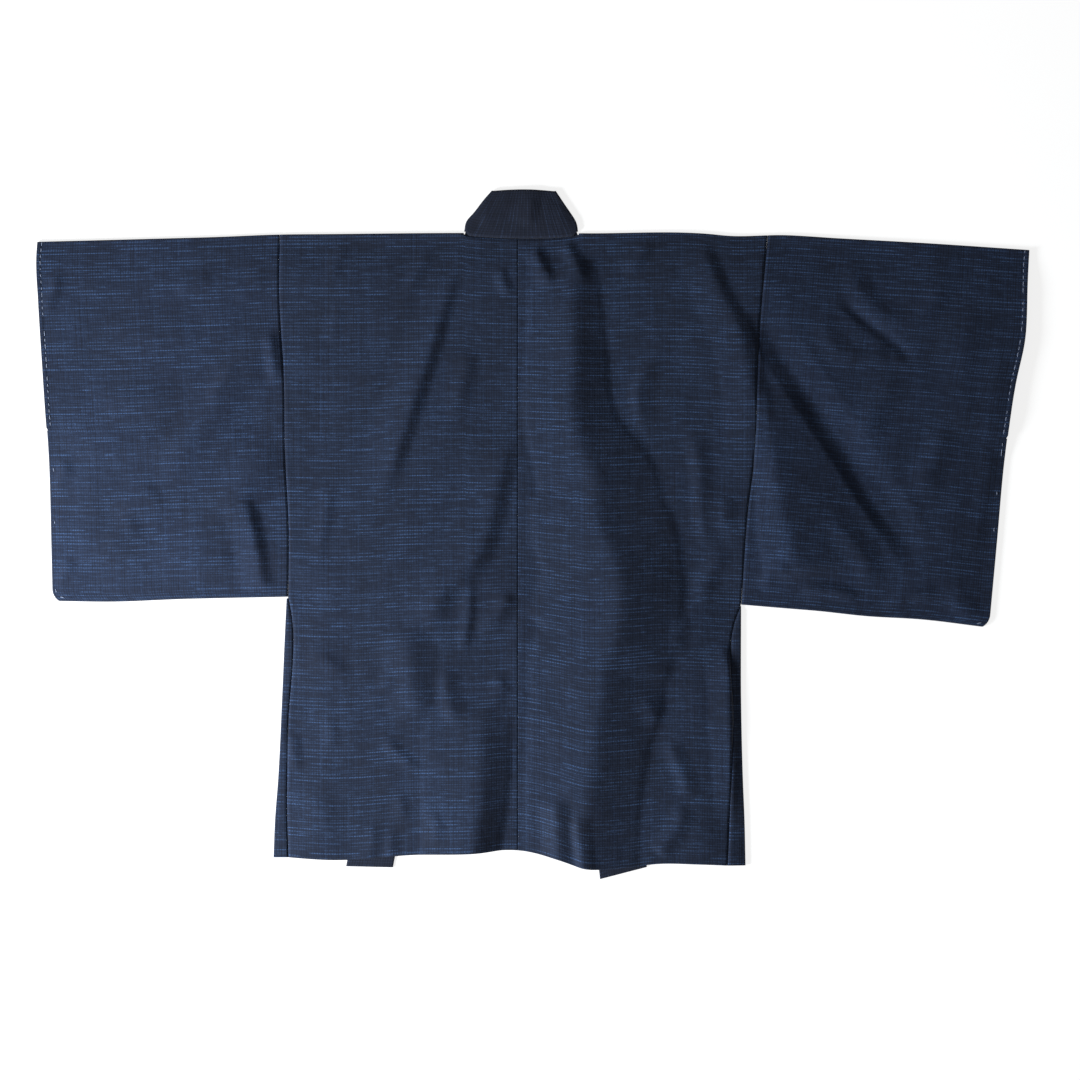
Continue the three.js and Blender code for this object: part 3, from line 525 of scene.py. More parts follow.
def body_sheet(cut, step):
    sheet = Sheet()
    sign, side = cut.sign, cut.armhole["out"][0]
    length = float(read(BACK_HEM, "across", "down", sign * side / 2))
    neck = cut.neck_out / side
    inner = spread(cut.neck_out, step, (SEAM_ROOM, ()))[:-1] / side
    outer = neck + spread(side - cut.neck_out, step, ((0,), SEAM_ROOM)) / side
    shares = np.concatenate([inner, outer])
    neck_columns = len(inner)
    apart = RIGHT_BODY_FLAT if sign > 0 else 0
    depth = spread(length, step, (FOLD_ROOM, HEM_ROOM)) / length
    share, part = np.meshgrid(shares, depth)

    guess_down = part * length
    guess = sign * share * seam_out(cut, guess_down, cut.back_seam)
    inset = EDGE_INSET
    top = read(SHOULDER, "across", "down", guess) + inset
    neck_top = read(NECK_SEAM, "across", "down", guess) - NECK_LAP
    top[:, :neck_columns] = neck_top[:, :neck_columns]
    hem = read(BACK_HEM, "across", "down", guess)
    down = top + (hem - top) * part
    edge = seam_out(cut, down, cut.back_seam) - HALF_GAP
    middle_edge = CENTRE_LAP if sign < 0 else 0.0
    across = middle_edge * (1 - share) + sign * share * edge
    height = BACK_MIDDLE + upper_lift(across, down)
    lap_dip = LAP_TOP_DIP if sign < 0 else LAP_UNDER_DIP
    height += seam_dip(np.abs(across - middle_edge), lap_dip)
    height += seam_dip(edge - np.abs(across), SEAM_DIP - sign * SEAM_STEP / 2)
    height[:, :neck_columns] += seam_dip((down - top)[:, :neck_columns], NECK_DIP, NECK_DIP_WIDTH)
    height = clear_of_lower(across, down, height)
    full = np.clip((hem - down) / HEM_THINNING, 0, 1)
    flat = np.stack([across + BODY_FLAT * sign, guess_down + apart], axis=-1)
    back = sheet.grid(flat_points(across, down, height), flat, THIN_HEM + (1 - THIN_HEM) * full)

    front_depth = spread(length, step * 2, (FOLD_ROOM, HEM_ROOM)) / length
    column = (outer - neck) / (1 - neck)
    column, part = np.meshgrid(column, front_depth)
    guess_down = part * length
    side_edge = lambda at: sign * (seam_out(cut, at, cut.front_seam) - HALF_GAP)
    seam_edge = lambda at: collar_seam(cut, at) + sign * HALF_GAP
    guess = seam_edge(guess_down) * (1 - column) + side_edge(guess_down) * column
    top = read(SHOULDER, "across", "down", guess) + inset
    hem = read(BACK_HEM, "across", "down", guess)
    down = top + (hem - top) * part
    across = seam_edge(down) * (1 - column) + side_edge(down) * column
    height = FRONT_MIDDLE + lower_lift(across, down)
    full = np.clip((hem - down) / HEM_THINNING, 0, 1)
    flat = np.stack([across + BODY_FLAT * sign, -guess_down - SHOULDER_FLAT + apart], axis=-1)
    front = sheet.grid(flat_points(across, down, height), flat, THIN_HEM + (1 - THIN_HEM) * full)

    outward = np.tile((0.0, -1.0, 0.0), (back.shape[1] - neck_columns, 1))
    fold = sheet.fold(front[0], back[0, neck_columns:], outward)
    flip = sign < 0
    sheet.join(back, flip)
    sheet.join(fold, flip)
    sheet.join(front[::-1], flip)
    return sheet


# ------------------------------------------------------------------ sleeves
CUFF_STITCH_LINE = 6.2  # from the cuff's edge to its stitches
TURNED_EDGE, TURNED_WIDTH = 0.45, 7.5  # the turned-in edge of the cuff stands up by this, over this width
STITCH_PULL = 0.4  # the stitches pull the cloth in by this


def corner_inset(above):
    inside = np.clip(CORNER_RADIUS - above, 0, CORNER_RADIUS)
    return CORNER_RADIUS - np.sqrt(CORNER_RADIUS**2 - inside**2)


def sleeve_sheet(cut, step):
    sheet = Sheet()
    sign = cut.sign
    depth = cut.cuff["down"][-1] - cut.cuff["down"][0]
    width = cut.cuff["out"].mean() - cut.armhole["out"].mean()
    open_part = spread(CUFF_OPENING, step, (FOLD_ROOM, ()))
    corner_top = depth - CORNER_RADIUS
    closed_part = CUFF_OPENING + spread(corner_top - CUFF_OPENING, step, ((0,), (0,)))
    corner = corner_top + CORNER_RADIUS * np.sin(np.linspace(0, np.pi / 2, 8))
    rows = np.unique(np.concatenate([open_part, closed_part, corner]).round(4)) / depth
    open_rows = int(np.searchsorted(rows, CUFF_OPENING / depth - 1e-6))
    cuff_room = (0, 0.9, 2.2, 4.2, 5.4, CUFF_STITCH_LINE, 7.4, 9.0)
    columns = spread(width, step, (SEAM_ROOM, cuff_room)) / width
    column, row = np.meshgrid(columns, rows)

    rough = row * cut.cuff["down"][-1]
    inner, outer = (read(edge, "down", "out", rough) for edge in (cut.armhole, cut.cuff))
    guess = inner * (1 - column) + outer * column
    inset = EDGE_INSET
    top = read(SHOULDER, "across", "down", sign * guess) + inset
    bottom = read(cut.sleeve_bottom, "out", "down", guess) - inset
    down = top + (bottom - top) * row
    above = bottom + inset - down
    steep = np.clip((CORNER_RADIUS - above) / CORNER_RADIUS, 0, 1)
    sideways = np.sqrt(1 - steep**2)
    closed = (np.arange(len(rows)) >= open_rows)[:, None]
    cuff_out = read(cut.cuff, "down", "out", down) - corner_inset(above) - closed * inset * sideways
    armhole = read(cut.armhole, "down", "out", down) + HALF_GAP
    out = armhole * (1 - column) + cuff_out * column
    across = sign * out
    flat_across = sign * column * width + SLEEVE_FLAT * sign
    flat_down = row * depth

    lift = upper_lift(across, down)
    from_cuff = cuff_out - out
    turned = TURNED_EDGE * smooth((TURNED_WIDTH - from_cuff) / 1.5)
    turned -= STITCH_PULL * np.exp(-(((from_cuff - CUFF_STITCH_LINE) / 0.7) ** 2))
    height = BACK_MIDDLE + lift + turned * (~closed)
    height += seam_dip(out - armhole, SEAM_DIP + sign * SEAM_STEP / 2)
    height = clear_of_lower(across, down, height)
    flat = np.stack([flat_across, flat_down], axis=-1)
    back = sheet.grid(flat_points(across, down, height), flat)
    height = FRONT_MIDDLE + lower_lift(across, down)
    flat = np.stack([flat_across, -flat_down - SHOULDER_FLAT], axis=-1)
    front = sheet.grid(flat_points(across, down, height), flat)

    last = len(rows) - 1
    cuff_outward = np.stack([sign * sideways[:, -1], steep[:, -1], 0 * steep[:, -1]], axis=-1)
    up = np.tile((0.0, -1.0, 0.0), (len(columns), 1))
    bottom_outward = -up
    bottom_outward[-1] = cuff_outward[last]
    shoulder = sheet.fold(front[0], back[0], up)
    foot = sheet.fold(front[last], back[last], bottom_outward)
    flip = sign < 0
    sheet.join(back, flip)
    sheet.join(front[::-1], flip)
    sheet.join(shoulder, flip)
    sheet.join(foot[::-1], flip)
    sewn = slice(open_rows, last)
    cuff = sheet.fold(front[sewn, -1], back[sewn, -1], cuff_outward[sewn])
    cuff = np.concatenate([cuff, foot[:, -1:]], axis=1)
    sheet.join(cuff, flip)
    return sheet


# ------------------------------------------------------------------ gussets
def gusset_sheet(cut, step):
    sheet = Sheet()
    sign = cut.sign
    top = cut.armhole["down"][-1] + GUSSET_TOP_ROOM
    hem = float(read(BACK_HEM, "across", "down", sign * cut.back_seam["out"][-1]))
    down = top + spread(hem - top, step, (HEM_ROOM, HEM_ROOM))
    inset = EDGE_INSET
    fold_out = read(cut.side_fold, "down", "out", down) - inset
    back_out = read(cut.back_seam, "down", "out", down) + HALF_GAP
    front_out = read(cut.front_seam, "down", "out", down) + HALF_GAP
    upper = np.array([0, 0.12, 0.3, 0.6, 1.0])
    lower = np.linspace(0, 1, 9)
    rows = []
    for start, shares, middle, lift in (
        (front_out, lower, FRONT_MIDDLE, lower_lift),
        (back_out, upper, BACK_MIDDLE, upper_lift),
    ):
        out = start[None] * (1 - shares[:, None]) + fold_out[None] * shares[:, None]
        across, deep = sign * out, np.tile(down, (len(shares), 1))
        upper_layer = middle == BACK_MIDDLE
        dip = SEAM_DIP + sign * SEAM_STEP / 2 if upper_layer else 0.0
        height = middle + lift(across, deep) + seam_dip(out - start[None], dip)
        if upper_layer:
            height = clear_of_lower(across, deep, height)
        flat = np.stack([across * (1 if upper_layer else -1) + GUSSET_FLAT * sign, deep], axis=-1)
        rows.append(sheet.grid(flat_points(across, deep, height), flat))
    lower_rows, upper_rows = rows
    outward = np.tile((float(sign), 0.0, 0.0), (len(down), 1))
    fold = sheet.fold(lower_rows[-1], upper_rows[-1], outward)
    strip = np.concatenate([lower_rows, fold[1:-1], upper_rows[::-1]])
    sheet.join(strip, sign > 0)
    return sheet


# ------------------------------------------------------------------ collar
COLLAR_INSET = FOLD_BULGE + 1.0  # its flat cloth stops this far inside a fold
COLLAR_ROUND = 2.2  # its wall thins over this distance towards both edges
COLLAR_EDGE = 0.35  # share of its wall left at an edge
COLLAR_BOW, COLLAR_CROWN = 2.2, 1.6  # its free edge bows out, and its middle stands up, behind the neck
COLLAR_DIP = 0.8
FAN = (4, 9, 15, 22, 30, 40, 52, 66, 84)  # sections below the neck, where the collar turns


def collar_front(cut, step, columns):
    """Sections of one front of the collar, from just below the neck to its end."""
    fold = cut.collar_fold
    rise = -(fold["down"][-1] - fold["down"][0])
    fold_angle = np.arctan2(rise, abs(fold["across"][-1] - fold["across"][0]))
    run_angle = np.radians(cut.front_turn)
    seam = lambda down: collar_seam(cut, down) - cut.sign * HALF_GAP
    free = lambda down, angle: np.stack(
        [seam(down) - cut.sign * COLLAR_WIDTH * np.cos(angle), down - COLLAR_WIDTH * np.sin(angle)], axis=-1
    )
    fan = np.array(FAN, float)
    turned = smooth(np.arange(1, len(fan) + 1) / len(fan))
    free_fan = free(fan, fold_angle + (run_angle - fold_angle) * turned)
    run = fan[-1] + spread(cut.collar_sewn[1] - fan[-1], step, ((0,), HEM_ROOM))[1:]
    part = ((run - fan[-1]) / (cut.collar_sewn[1] - fan[-1]))[:, None]
    free_run = free_fan[-1] * (1 - part) + np.array(cut.collar_free) * part
    down = np.concatenate([fan, run])
    sewn = np.stack([seam(down), down], axis=-1)[:, None]
    free_edge = np.concatenate([free_fan, free_run])[:, None]
    points = sewn * (1 - columns[None, :, None]) + free_edge * columns[None, :, None]
    height = np.full(points.shape[:2] + (1,), COLLAR_FRONT_MIDDLE)
    return np.concatenate([points, height], axis=-1)


def collar_sheet(step):
    sheet = Sheet()
    columns = spread(COLLAR_WIDTH, step, ((0, 0.9, 2.2, 4.0), (0, 0.7, 1.6, 3.2))) / COLLAR_WIDTH
    inset = COLLAR_INSET
    edge_full = smooth(np.minimum(columns, 1 - columns) * COLLAR_WIDTH / COLLAR_ROUND)
    full = lambda rows: np.tile(COLLAR_EDGE + (1 - COLLAR_EDGE) * edge_full, (rows, 1))
    folds, fronts = {}, {}
    for cut in (LEFT, RIGHT):
        fold_line = cut.collar_fold
        number = np.linspace(0, 1, len(fold_line["down"]))
        line = [read({"n": number, "v": fold_line[key]}, "n", "v", columns) for key in ("across", "down")]
        folds[cut.side] = np.stack([line[0] - cut.sign * inset, line[1]], axis=-1)
        fronts[cut.side] = collar_front(cut, step, columns)
    start, end = folds["left"], folds["right"]
    places = np.linspace(start[0, 0], end[0, 0], int((end[0, 0] - start[0, 0]) / step) + 2)[1:-1]
    part = ((places - start[0, 0]) / (end[0, 0] - start[0, 0]))[:, None]
    sewn = np.stack([places, read(NECK_SEAM, "across", "down", places) - HALF_GAP], axis=-1)
    free = start[-1] * (1 - part) + end[-1] * part
    free[:, 1] -= COLLAR_BOW * np.sin(np.pi * part[:, 0])
    middle = sewn[:, None] * (1 - columns[None, :, None]) + free[:, None] * columns[None, :, None]
    lift = sum(fold_height(fold, middle[..., 0], middle[..., 1]) for fold in COLLAR_FOLDS)
    lift += COLLAR_CROWN * np.sin(np.pi * columns)[None] * smooth(np.sin(np.pi * part) * 1.5)
    height = COLLAR_BACK_MIDDLE + lift + seam_dip(columns * COLLAR_WIDTH, COLLAR_DIP)[None]
    middle = np.concatenate([middle, height[..., None]], axis=-1)

    across = columns * COLLAR_WIDTH
    place = 0.0

    def add(points, forward=True):
        nonlocal place
        steps = np.linalg.norm(np.diff(points.mean(axis=1), axis=0), axis=1)
        along = place + np.concatenate([[0.0], np.cumsum(steps)])
        place = along[-1] + step
        flat = np.stack(np.broadcast_arrays(across[None] + COLLAR_FLAT, along[:, None]), axis=-1)
        return sheet.grid(points, flat, full(len(points)))

    def layer(line, middle_height):
        return np.concatenate([line, np.full((len(line), 1), middle_height)], axis=-1)[None]

    left_front = add(fronts["left"][::-1])
    left_lower = add(layer(folds["left"], COLLAR_FRONT_MIDDLE))[0]
    left_upper = add(layer(folds["left"], COLLAR_BACK_MIDDLE))[0]
    back = add(middle)
    right_upper = add(layer(folds["right"], COLLAR_BACK_MIDDLE))[0]
    right_lower = add(layer(folds["right"], COLLAR_FRONT_MIDDLE))[0]
    right_front = add(fronts["right"])
    outward = lambda sign: np.tile((float(sign), 0.0, 0.0), (len(columns), 1))
    left_fold = sheet.fold(left_lower, left_upper, outward(-1))
    right_fold = sheet.fold(right_lower, right_upper, outward(1))
    sheet.join(np.concatenate([left_front, left_fold, back, right_fold[::-1], right_front]))
    return sheet


# ------------------------------------------------------------------ materials
def linear(code):
    """An sRGB hex colour as linear values."""
    channels = [int(code[k : k + 2], 16) / 255 for k in (1, 3, 5)]
    return [c / 12.92 if c <= 0.04045 else ((c + 0.055) / 1.055) ** 2.4 for c in channels]


def rgba(code):
    return (*linear(code), 1.0)


MATH = "ShaderNodeMath"
RANGE = "ShaderNodeMapRange"
MIX = "ShaderNodeMix"
NOISE = "ShaderNodeTexNoise"
OF_COLOURS = {"data_type": "RGBA"}
ON_A_PLANE = {"noise_dimensions": "2D"}
SOFTLY = {"interpolation_type": "SMOOTHSTEP"}
TIMES = {"operation": "MULTIPLY"}
TIMES_PLUS = {"operation": "MULTIPLY_ADD"}


def add_node(tree, kind, settings=None, **inputs):
    """Adds a node with its settings. An input is named or numbered (i0, i1...), and takes a value, a socket,
    or another node, whose first output is used."""
    node = tree.nodes.new(kind)
    for key, value in (settings or {}).items():
        setattr(node, key, value)
    for key, value in inputs.items():
        socket = node.inputs[int(key[1:])] if key[1:].isdigit() else node.inputs[key.replace("_", " ")]
        if isinstance(value, bpy.types.Node):
            value = value.outputs[0]
        if isinstance(value, bpy.types.NodeSocket):
            tree.links.new(value, socket)
        else:
            socket.default_value = value
    return node


def empty_material(name):
    material = bpy.data.materials.new(name)
    material.use_nodes = True
    material.node_tree.nodes.clear()
    return material


# Yarns lie in rows a pitch apart and fade in and out over a run, both in mm. offset shifts the rows, as a
# share of the pitch, and soft is how gently a yarn fades.
Yarns = namedtuple("Yarns", "pitch run offset soft")
YARN_CORE, YARN_EDGE = 0.03, 0.24  # a yarn is full and ends at these shares of the pitch from its middle
ROW_SHIFT = 5.37  # keeps the fading of one row from lining up with the next
FAINTEST_ROW = 0.2

FINE_WEFT_PITCH, FINE_WEFT_RUN, FINE_WEFT_PART = 0.69, 0.55, 0.55  # the finer weft, as shares of the main one
WARP_RUN, WARP_PART = 1.6, 0.34
GRAIN_SIZE, CRINKLE_SIZE, MOTTLE_SIZE, TWIST_SIZE = 2.6, 16, 70, 1.4  # mm
WEFT_RELIEF, WARP_RELIEF, GRAIN_RELIEF, CRINKLE_RELIEF = 0.10, 0.07, 0.05, 0.55  # mm


def thread_rows(tree, along, over, yarns):
    """Returns the pale threads, which come and go, and the rows that they lie in, which don't."""
    place = add_node(tree, MATH, TIMES_PLUS, i0=over, i1=1 / (yarns.pitch * MM), i2=yarns.offset)
    row = add_node(tree, MATH, {"operation": "FLOOR"}, i0=place)
    inside = add_node(tree, MATH, {"operation": "FRACT"}, i0=place)
    from_middle = add_node(tree, MATH, {"operation": "SUBTRACT"}, i0=inside, i1=0.5)
    centred = add_node(tree, MATH, {"operation": "ABSOLUTE"}, i0=from_middle)
    body = add_node(tree, RANGE, SOFTLY, i0=centred, i1=YARN_CORE, i2=YARN_EDGE, i3=1.0, i4=0.0)
    shift = add_node(tree, MATH, TIMES, i0=row, i1=ROW_SHIFT)
    run = add_node(tree, MATH, TIMES, i0=along, i1=1 / (yarns.run * MM))
    spot = add_node(tree, "ShaderNodeCombineXYZ", None, X=run, Y=shift)
    noise = add_node(tree, NOISE, ON_A_PLANE, Vector=spot, Scale=1.0, Detail=2.5, Roughness=0.62)
    low, high = 0.5 - yarns.soft, 0.5 + yarns.soft
    dash = add_node(tree, RANGE, SOFTLY, i0=noise, i1=low, i2=high, i3=0.0, i4=1.0)
    chance = add_node(tree, "ShaderNodeTexWhiteNoise", {"noise_dimensions": "1D"}, W=row)
    gain = add_node(tree, RANGE, None, i0=chance, i1=0.0, i2=1.0, i3=FAINTEST_ROW, i4=1.0)
    dashes = add_node(tree, MATH, TIMES, i0=body, i1=dash)
    return add_node(tree, MATH, TIMES, i0=dashes, i1=gain), body


def woven_cotton(name, cloth, ground, thread):
    """Indigo cotton, plain woven with slub yarns: a dark ground under broken pale weft lines, with no gloss
    but a faint bloom at the edges of folds."""
    material = empty_material(name)
    tree = material.node_tree
    flat = add_node(tree, "ShaderNodeUVMap", {"uv_map": "Cloth"})
    axes = add_node(tree, "ShaderNodeSeparateXYZ", None, Vector=flat).outputs
    weft_way, warp_way = axes[0], axes[1]

    main_weft = Yarns(cloth.weft_pitch, cloth.slub_length, 0.0, 0.10)
    fine_weft = Yarns(cloth.weft_pitch * FINE_WEFT_PITCH, cloth.slub_length * FINE_WEFT_RUN, 0.37, 0.16)
    ribs = Yarns(cloth.warp_pitch, cloth.slub_length * WARP_RUN, 0.21, 0.3)
    slubs, weft = thread_rows(tree, weft_way, warp_way, main_weft)
    fine, _ = thread_rows(tree, weft_way, warp_way, fine_weft)
    warps, warp = thread_rows(tree, warp_way, weft_way, ribs)
    grain = add_node(
        tree, NOISE, ON_A_PLANE, Vector=flat, Scale=1 / (GRAIN_SIZE * MM), Detail=2.0, Roughness=0.7
    )
    mottle = add_node(
        tree, NOISE, ON_A_PLANE, Vector=flat, Scale=1 / (MOTTLE_SIZE * MM), Detail=4.0, Roughness=0.6
    )

    # a pale line is broken where it passes under the warp
    over = add_node(tree, RANGE, None, i0=warp, i1=0.0, i2=1.0, i3=1.0, i4=0.1)
    pale = add_node(tree, MATH, TIMES_PLUS, i0=fine, i1=FINE_WEFT_PART, i2=slubs)
    pale = add_node(tree, MATH, TIMES, i0=pale, i1=over)
    pale = add_node(tree, MATH, TIMES_PLUS, i0=warps, i1=WARP_PART, i2=pale)
    patch = add_node(tree, RANGE, None, i0=mottle, i1=0.3, i2=0.7, i3=0.82, i4=1.14)
    pale = add_node(tree, MATH, TIMES, i0=pale, i1=patch)
    speck = add_node(tree, RANGE, None, i0=grain, i1=0.3, i2=0.7, i3=0.35, i4=1.6)
    pale = add_node(tree, MATH, TIMES, i0=pale, i1=speck)
    pale = add_node(tree, "ShaderNodeClamp", None, Value=pale)

    # the ground darkens between its warps
    between = add_node(tree, RANGE, None, i0=warp, i1=0.0, i2=1.0, i3=1.0, i4=0.1)
    depth = add_node(tree, MATH, TIMES, i0=patch, i1=between)
    deep = add_node(tree, MIX, OF_COLOURS, i0=depth, i6=rgba(cloth.shade), i7=rgba(ground)).outputs[2]
    colour = add_node(tree, MIX, OF_COLOURS, i0=pale, i6=deep, i7=rgba(thread)).outputs[2]

    crinkle = add_node(
        tree, NOISE, ON_A_PLANE, Vector=flat, Scale=1 / (CRINKLE_SIZE * MM), Detail=3.0, Roughness=0.55
    )
    relief = add_node(tree, MATH, TIMES, i0=warp, i1=WARP_RELIEF)
    relief = add_node(tree, MATH, TIMES_PLUS, i0=weft, i1=WEFT_RELIEF, i2=relief)
    relief = add_node(tree, MATH, TIMES_PLUS, i0=grain, i1=GRAIN_RELIEF, i2=relief)
    relief = add_node(tree, MATH, TIMES_PLUS, i0=crinkle, i1=CRINKLE_RELIEF, i2=relief)
    bump = add_node(tree, "ShaderNodeBump", None, Height=relief, Distance=MM, Strength=1.0)
    shader = add_node(
        tree, "ShaderNodeBsdfPrincipled", None, Base_Color=colour, Normal=bump, Roughness=0.82, IOR=1.5,
        Specular_IOR_Level=0.32, Sheen_Weight=0.25, Sheen_Roughness=0.5, Sheen_Tint=rgba("#d8d2cc"),
    )
    add_node(tree, "ShaderNodeOutputMaterial", None, Surface=shader)
    return material


def cotton_thread(name, code):
    """Undyed sewing cotton, twisted: a pale matt line with fine diagonal grooves, painted darker in the
    grooves as shade.
    """
    material = empty_material(name)
    tree = material.node_tree
    place = add_node(tree, "ShaderNodeTexCoord").outputs["Object"]
    bands = {"bands_direction": "DIAGONAL"}
    fineness = 1 / (TWIST_SIZE * MM)
    twist = add_node(tree, "ShaderNodeTexWave", bands, Vector=place, Scale=fineness, Distortion=2.0)
    groove = twist.outputs[1]
    # painted shade: the grooves of the twist are coloured darker and bluer, beside their bump
    shade = add_node(tree, RANGE, None, i0=groove, i1=0.0, i2=1.0, i3=0.65, i4=1.0)
    colour = add_node(tree, MIX, OF_COLOURS, i0=shade, i6=rgba("#4a5878"), i7=rgba(code)).outputs[2]
    bump = add_node(tree, "ShaderNodeBump", None, Height=groove, Distance=0.1 * MM)
    shader = add_node(
        tree, "ShaderNodeBsdfPrincipled", None, Base_Color=colour, Normal=bump, Roughness=0.75,
        Specular_IOR_Level=0.3,
    )
    add_node(tree, "ShaderNodeOutputMaterial", None, Surface=shader)
    return material


# ------------------------------------------------------------------ settings
class HaoriClothSettings(bpy.types.PropertyGroup):
    step: bpy.props.FloatProperty(
        name="Mesh step", description="Spacing of the cloth's points, in mm", default=4.2
    )
    wall: bpy.props.FloatProperty(name="Cloth wall", description="Thickness of one layer, in mm", default=0.9)
    collar_wall: bpy.props.FloatProperty(
        name="Collar wall", description="Thickness of the collar, in mm", default=1.9
    )
    weft_pitch: bpy.props.FloatProperty(
        name="Weft pitch", description="Spacing of the pale weft lines, in mm", default=4.8
    )
    # the cloth's own warp ribs are finer than this, and are drawn at a pitch that shows
    warp_pitch: bpy.props.FloatProperty(
        name="Warp pitch", description="Spacing of the warp ribs, in mm", default=3.5
    )
    slub_length: bpy.props.FloatProperty(
        name="Slub length", description="Length of a pale run of weft, in mm", default=55.0
    )
    ground: bpy.props.StringProperty(
        name="Ground", description="Indigo ground of the body, sRGB", default="#16243e"
    )
    shade: bpy.props.StringProperty(
        name="Shade", description="Darker patches of the ground, sRGB", default="#0c1322"
    )
    sleeve_ground: bpy.props.StringProperty(
        name="Sleeve ground", description="Ground of the sleeves, sRGB", default="#162541"
    )
    collar_ground: bpy.props.StringProperty(
        name="Collar ground", description="Ground of the collar, sRGB", default="#161f34"
    )
    thread: bpy.props.StringProperty(
        name="Pale weft", description="Pale blue weft yarn, sRGB", default="#42608e"
    )
    collar_thread: bpy.props.StringProperty(
        name="Collar weft", description="Weft yarn on the collar, sRGB", default="#2b3a58"
    )


class HaoriStitchSettings(bpy.types.PropertyGroup):
    inset: bpy.props.FloatProperty(
        name="Inset", description="From the cuff edge to the stitches, in mm", default=CUFF_STITCH_LINE
    )
    length: bpy.props.FloatProperty(name="Length", description="Length of a stitch, in mm", default=7.0)
    pitch: bpy.props.FloatProperty(
        name="Pitch", description="From one stitch to the next, in mm", default=9.0
    )
    # real sewing thread is 0.3 mm across and too fine to show, so it is drawn three times as thick
    radius: bpy.props.FloatProperty(name="Radius", description="Radius of the thread, in mm", default=0.5)
    colour: bpy.props.StringProperty(
        name="Colour", description="Colour of the thread, sRGB", default="#aebbd6"
    )


class HaoriStageSettings(bpy.types.PropertyGroup):
    frame_width: bpy.props.FloatProperty(
        name="View width", description="Width that the camera takes in", default=1.512, unit="LENGTH"
    )
    lens: bpy.props.FloatProperty(name="Lens", description="Focal length, in mm", default=100.0)
    aim_across: bpy.props.FloatProperty(
        name="Aim across", description="Aim, from the centre-back seam, in mm", default=32.2
    )
    aim_down: bpy.props.FloatProperty(
        name="Aim down", description="Aim, from the shoulder line, in mm", default=428.4
    )
    key_power: bpy.props.FloatProperty(
        name="Key power", description="Power of the soft key light, in W", default=104.0
    )
    fill: bpy.props.FloatProperty(
        name="Fill", description="Strength of the even light all round", default=0.14
    )


def declare(piece, node):
    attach(piece, "root")
    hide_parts(node)


def material_named(name, make, *settings):
    """A material that several pieces share is made once."""
    return bpy.data.materials.get(name) or make(name, *settings)


def body_cotton(cloth):
    return material_named("Woven slub cotton body", woven_cotton, cloth, cloth.ground, cloth.thread)


class HAORI_OT_body(bpy.types.Operator):
    """Make the two body lengths, each over its shoulder from back hem to front hem"""

    bl_idname = "haori.body"
    bl_label = "Body lengths"

    def execute(self, context):
        cloth = context.scene.haori_cloth
        for cut in (LEFT, RIGHT):
            sheet = body_sheet(cut, cloth.step)
            piece = sheet.build(f"body_{cut.side}_cloth", body_cotton(cloth), cloth.wall)
            declare(piece, f"body_{cut.side}")
        return {"FINISHED"}


class HAORI_OT_sleeves(bpy.types.Operator):
    """Make the two sleeves, each one length folded at the shoulder"""

    bl_idname = "haori.sleeves"
    bl_label = "Sleeves"

    def execute(self, context):
        cloth = context.scene.haori_cloth
        cotton = material_named(
            "Woven slub cotton sleeve", woven_cotton, cloth, cloth.sleeve_ground, cloth.thread
        )
        for cut in (LEFT, RIGHT):
            sheet = sleeve_sheet(cut, cloth.step)
            sheet.build(f"sleeve_{cut.side}_cloth", cotton, cloth.wall)
        return {"FINISHED"}


class HAORI_OT_gussets(bpy.types.Operator):
    """Make the two side gussets, folded along the sides"""

    bl_idname = "haori.gussets"
    bl_label = "Side gussets"

    def execute(self, context):
        cloth = context.scene.haori_cloth
        for cut in (LEFT, RIGHT):
            sheet = gusset_sheet(cut, cloth.step)
            piece = sheet.build(f"gusset_{cut.side}_cloth", body_cotton(cloth), cloth.wall)
            declare(piece, f"gusset_{cut.side}")
        return {"FINISHED"}


class HAORI_OT_collar(bpy.types.Operator):
    """Make the collar band, from one front hem round the neck to the other"""

    bl_idname = "haori.collar"
    bl_label = "Collar"

    def execute(self, context):
        cloth = context.scene.haori_cloth
        cotton = material_named(
            "Woven slub cotton collar", woven_cotton, cloth, cloth.collar_ground, cloth.collar_thread
        )
        piece = collar_sheet(cloth.step).build("collar_cloth", cotton, cloth.collar_wall)
        declare(piece, "collar")
        return {"FINISHED"}


# ------------------------------------------------------------------ stitches
SHORTEST, LONGEST = 0.45, 1.1  # a stitch's length, as a share of the usual one
STITCH_RUN_END = {"left": CUFF_OPENING + 10, "right": CUFF_OPENING + 40}
# lone stitches below the opening, from and to, in mm down from the shoulder
LONE_STITCHES = {
    "left": [(330, 336), (404, 409), (452, 458)],
    "right": [(308, 315), (363, 370), (414, 421), (470, 475)],
}
STITCH_WANDER, WANDER_SIZE = 0.7, 34  # how far the run strays from its line, and over what length
CORNER_STITCH_INSET = 5.0
TOP_OF_CLOTH = 0.45  # half the cloth's wall


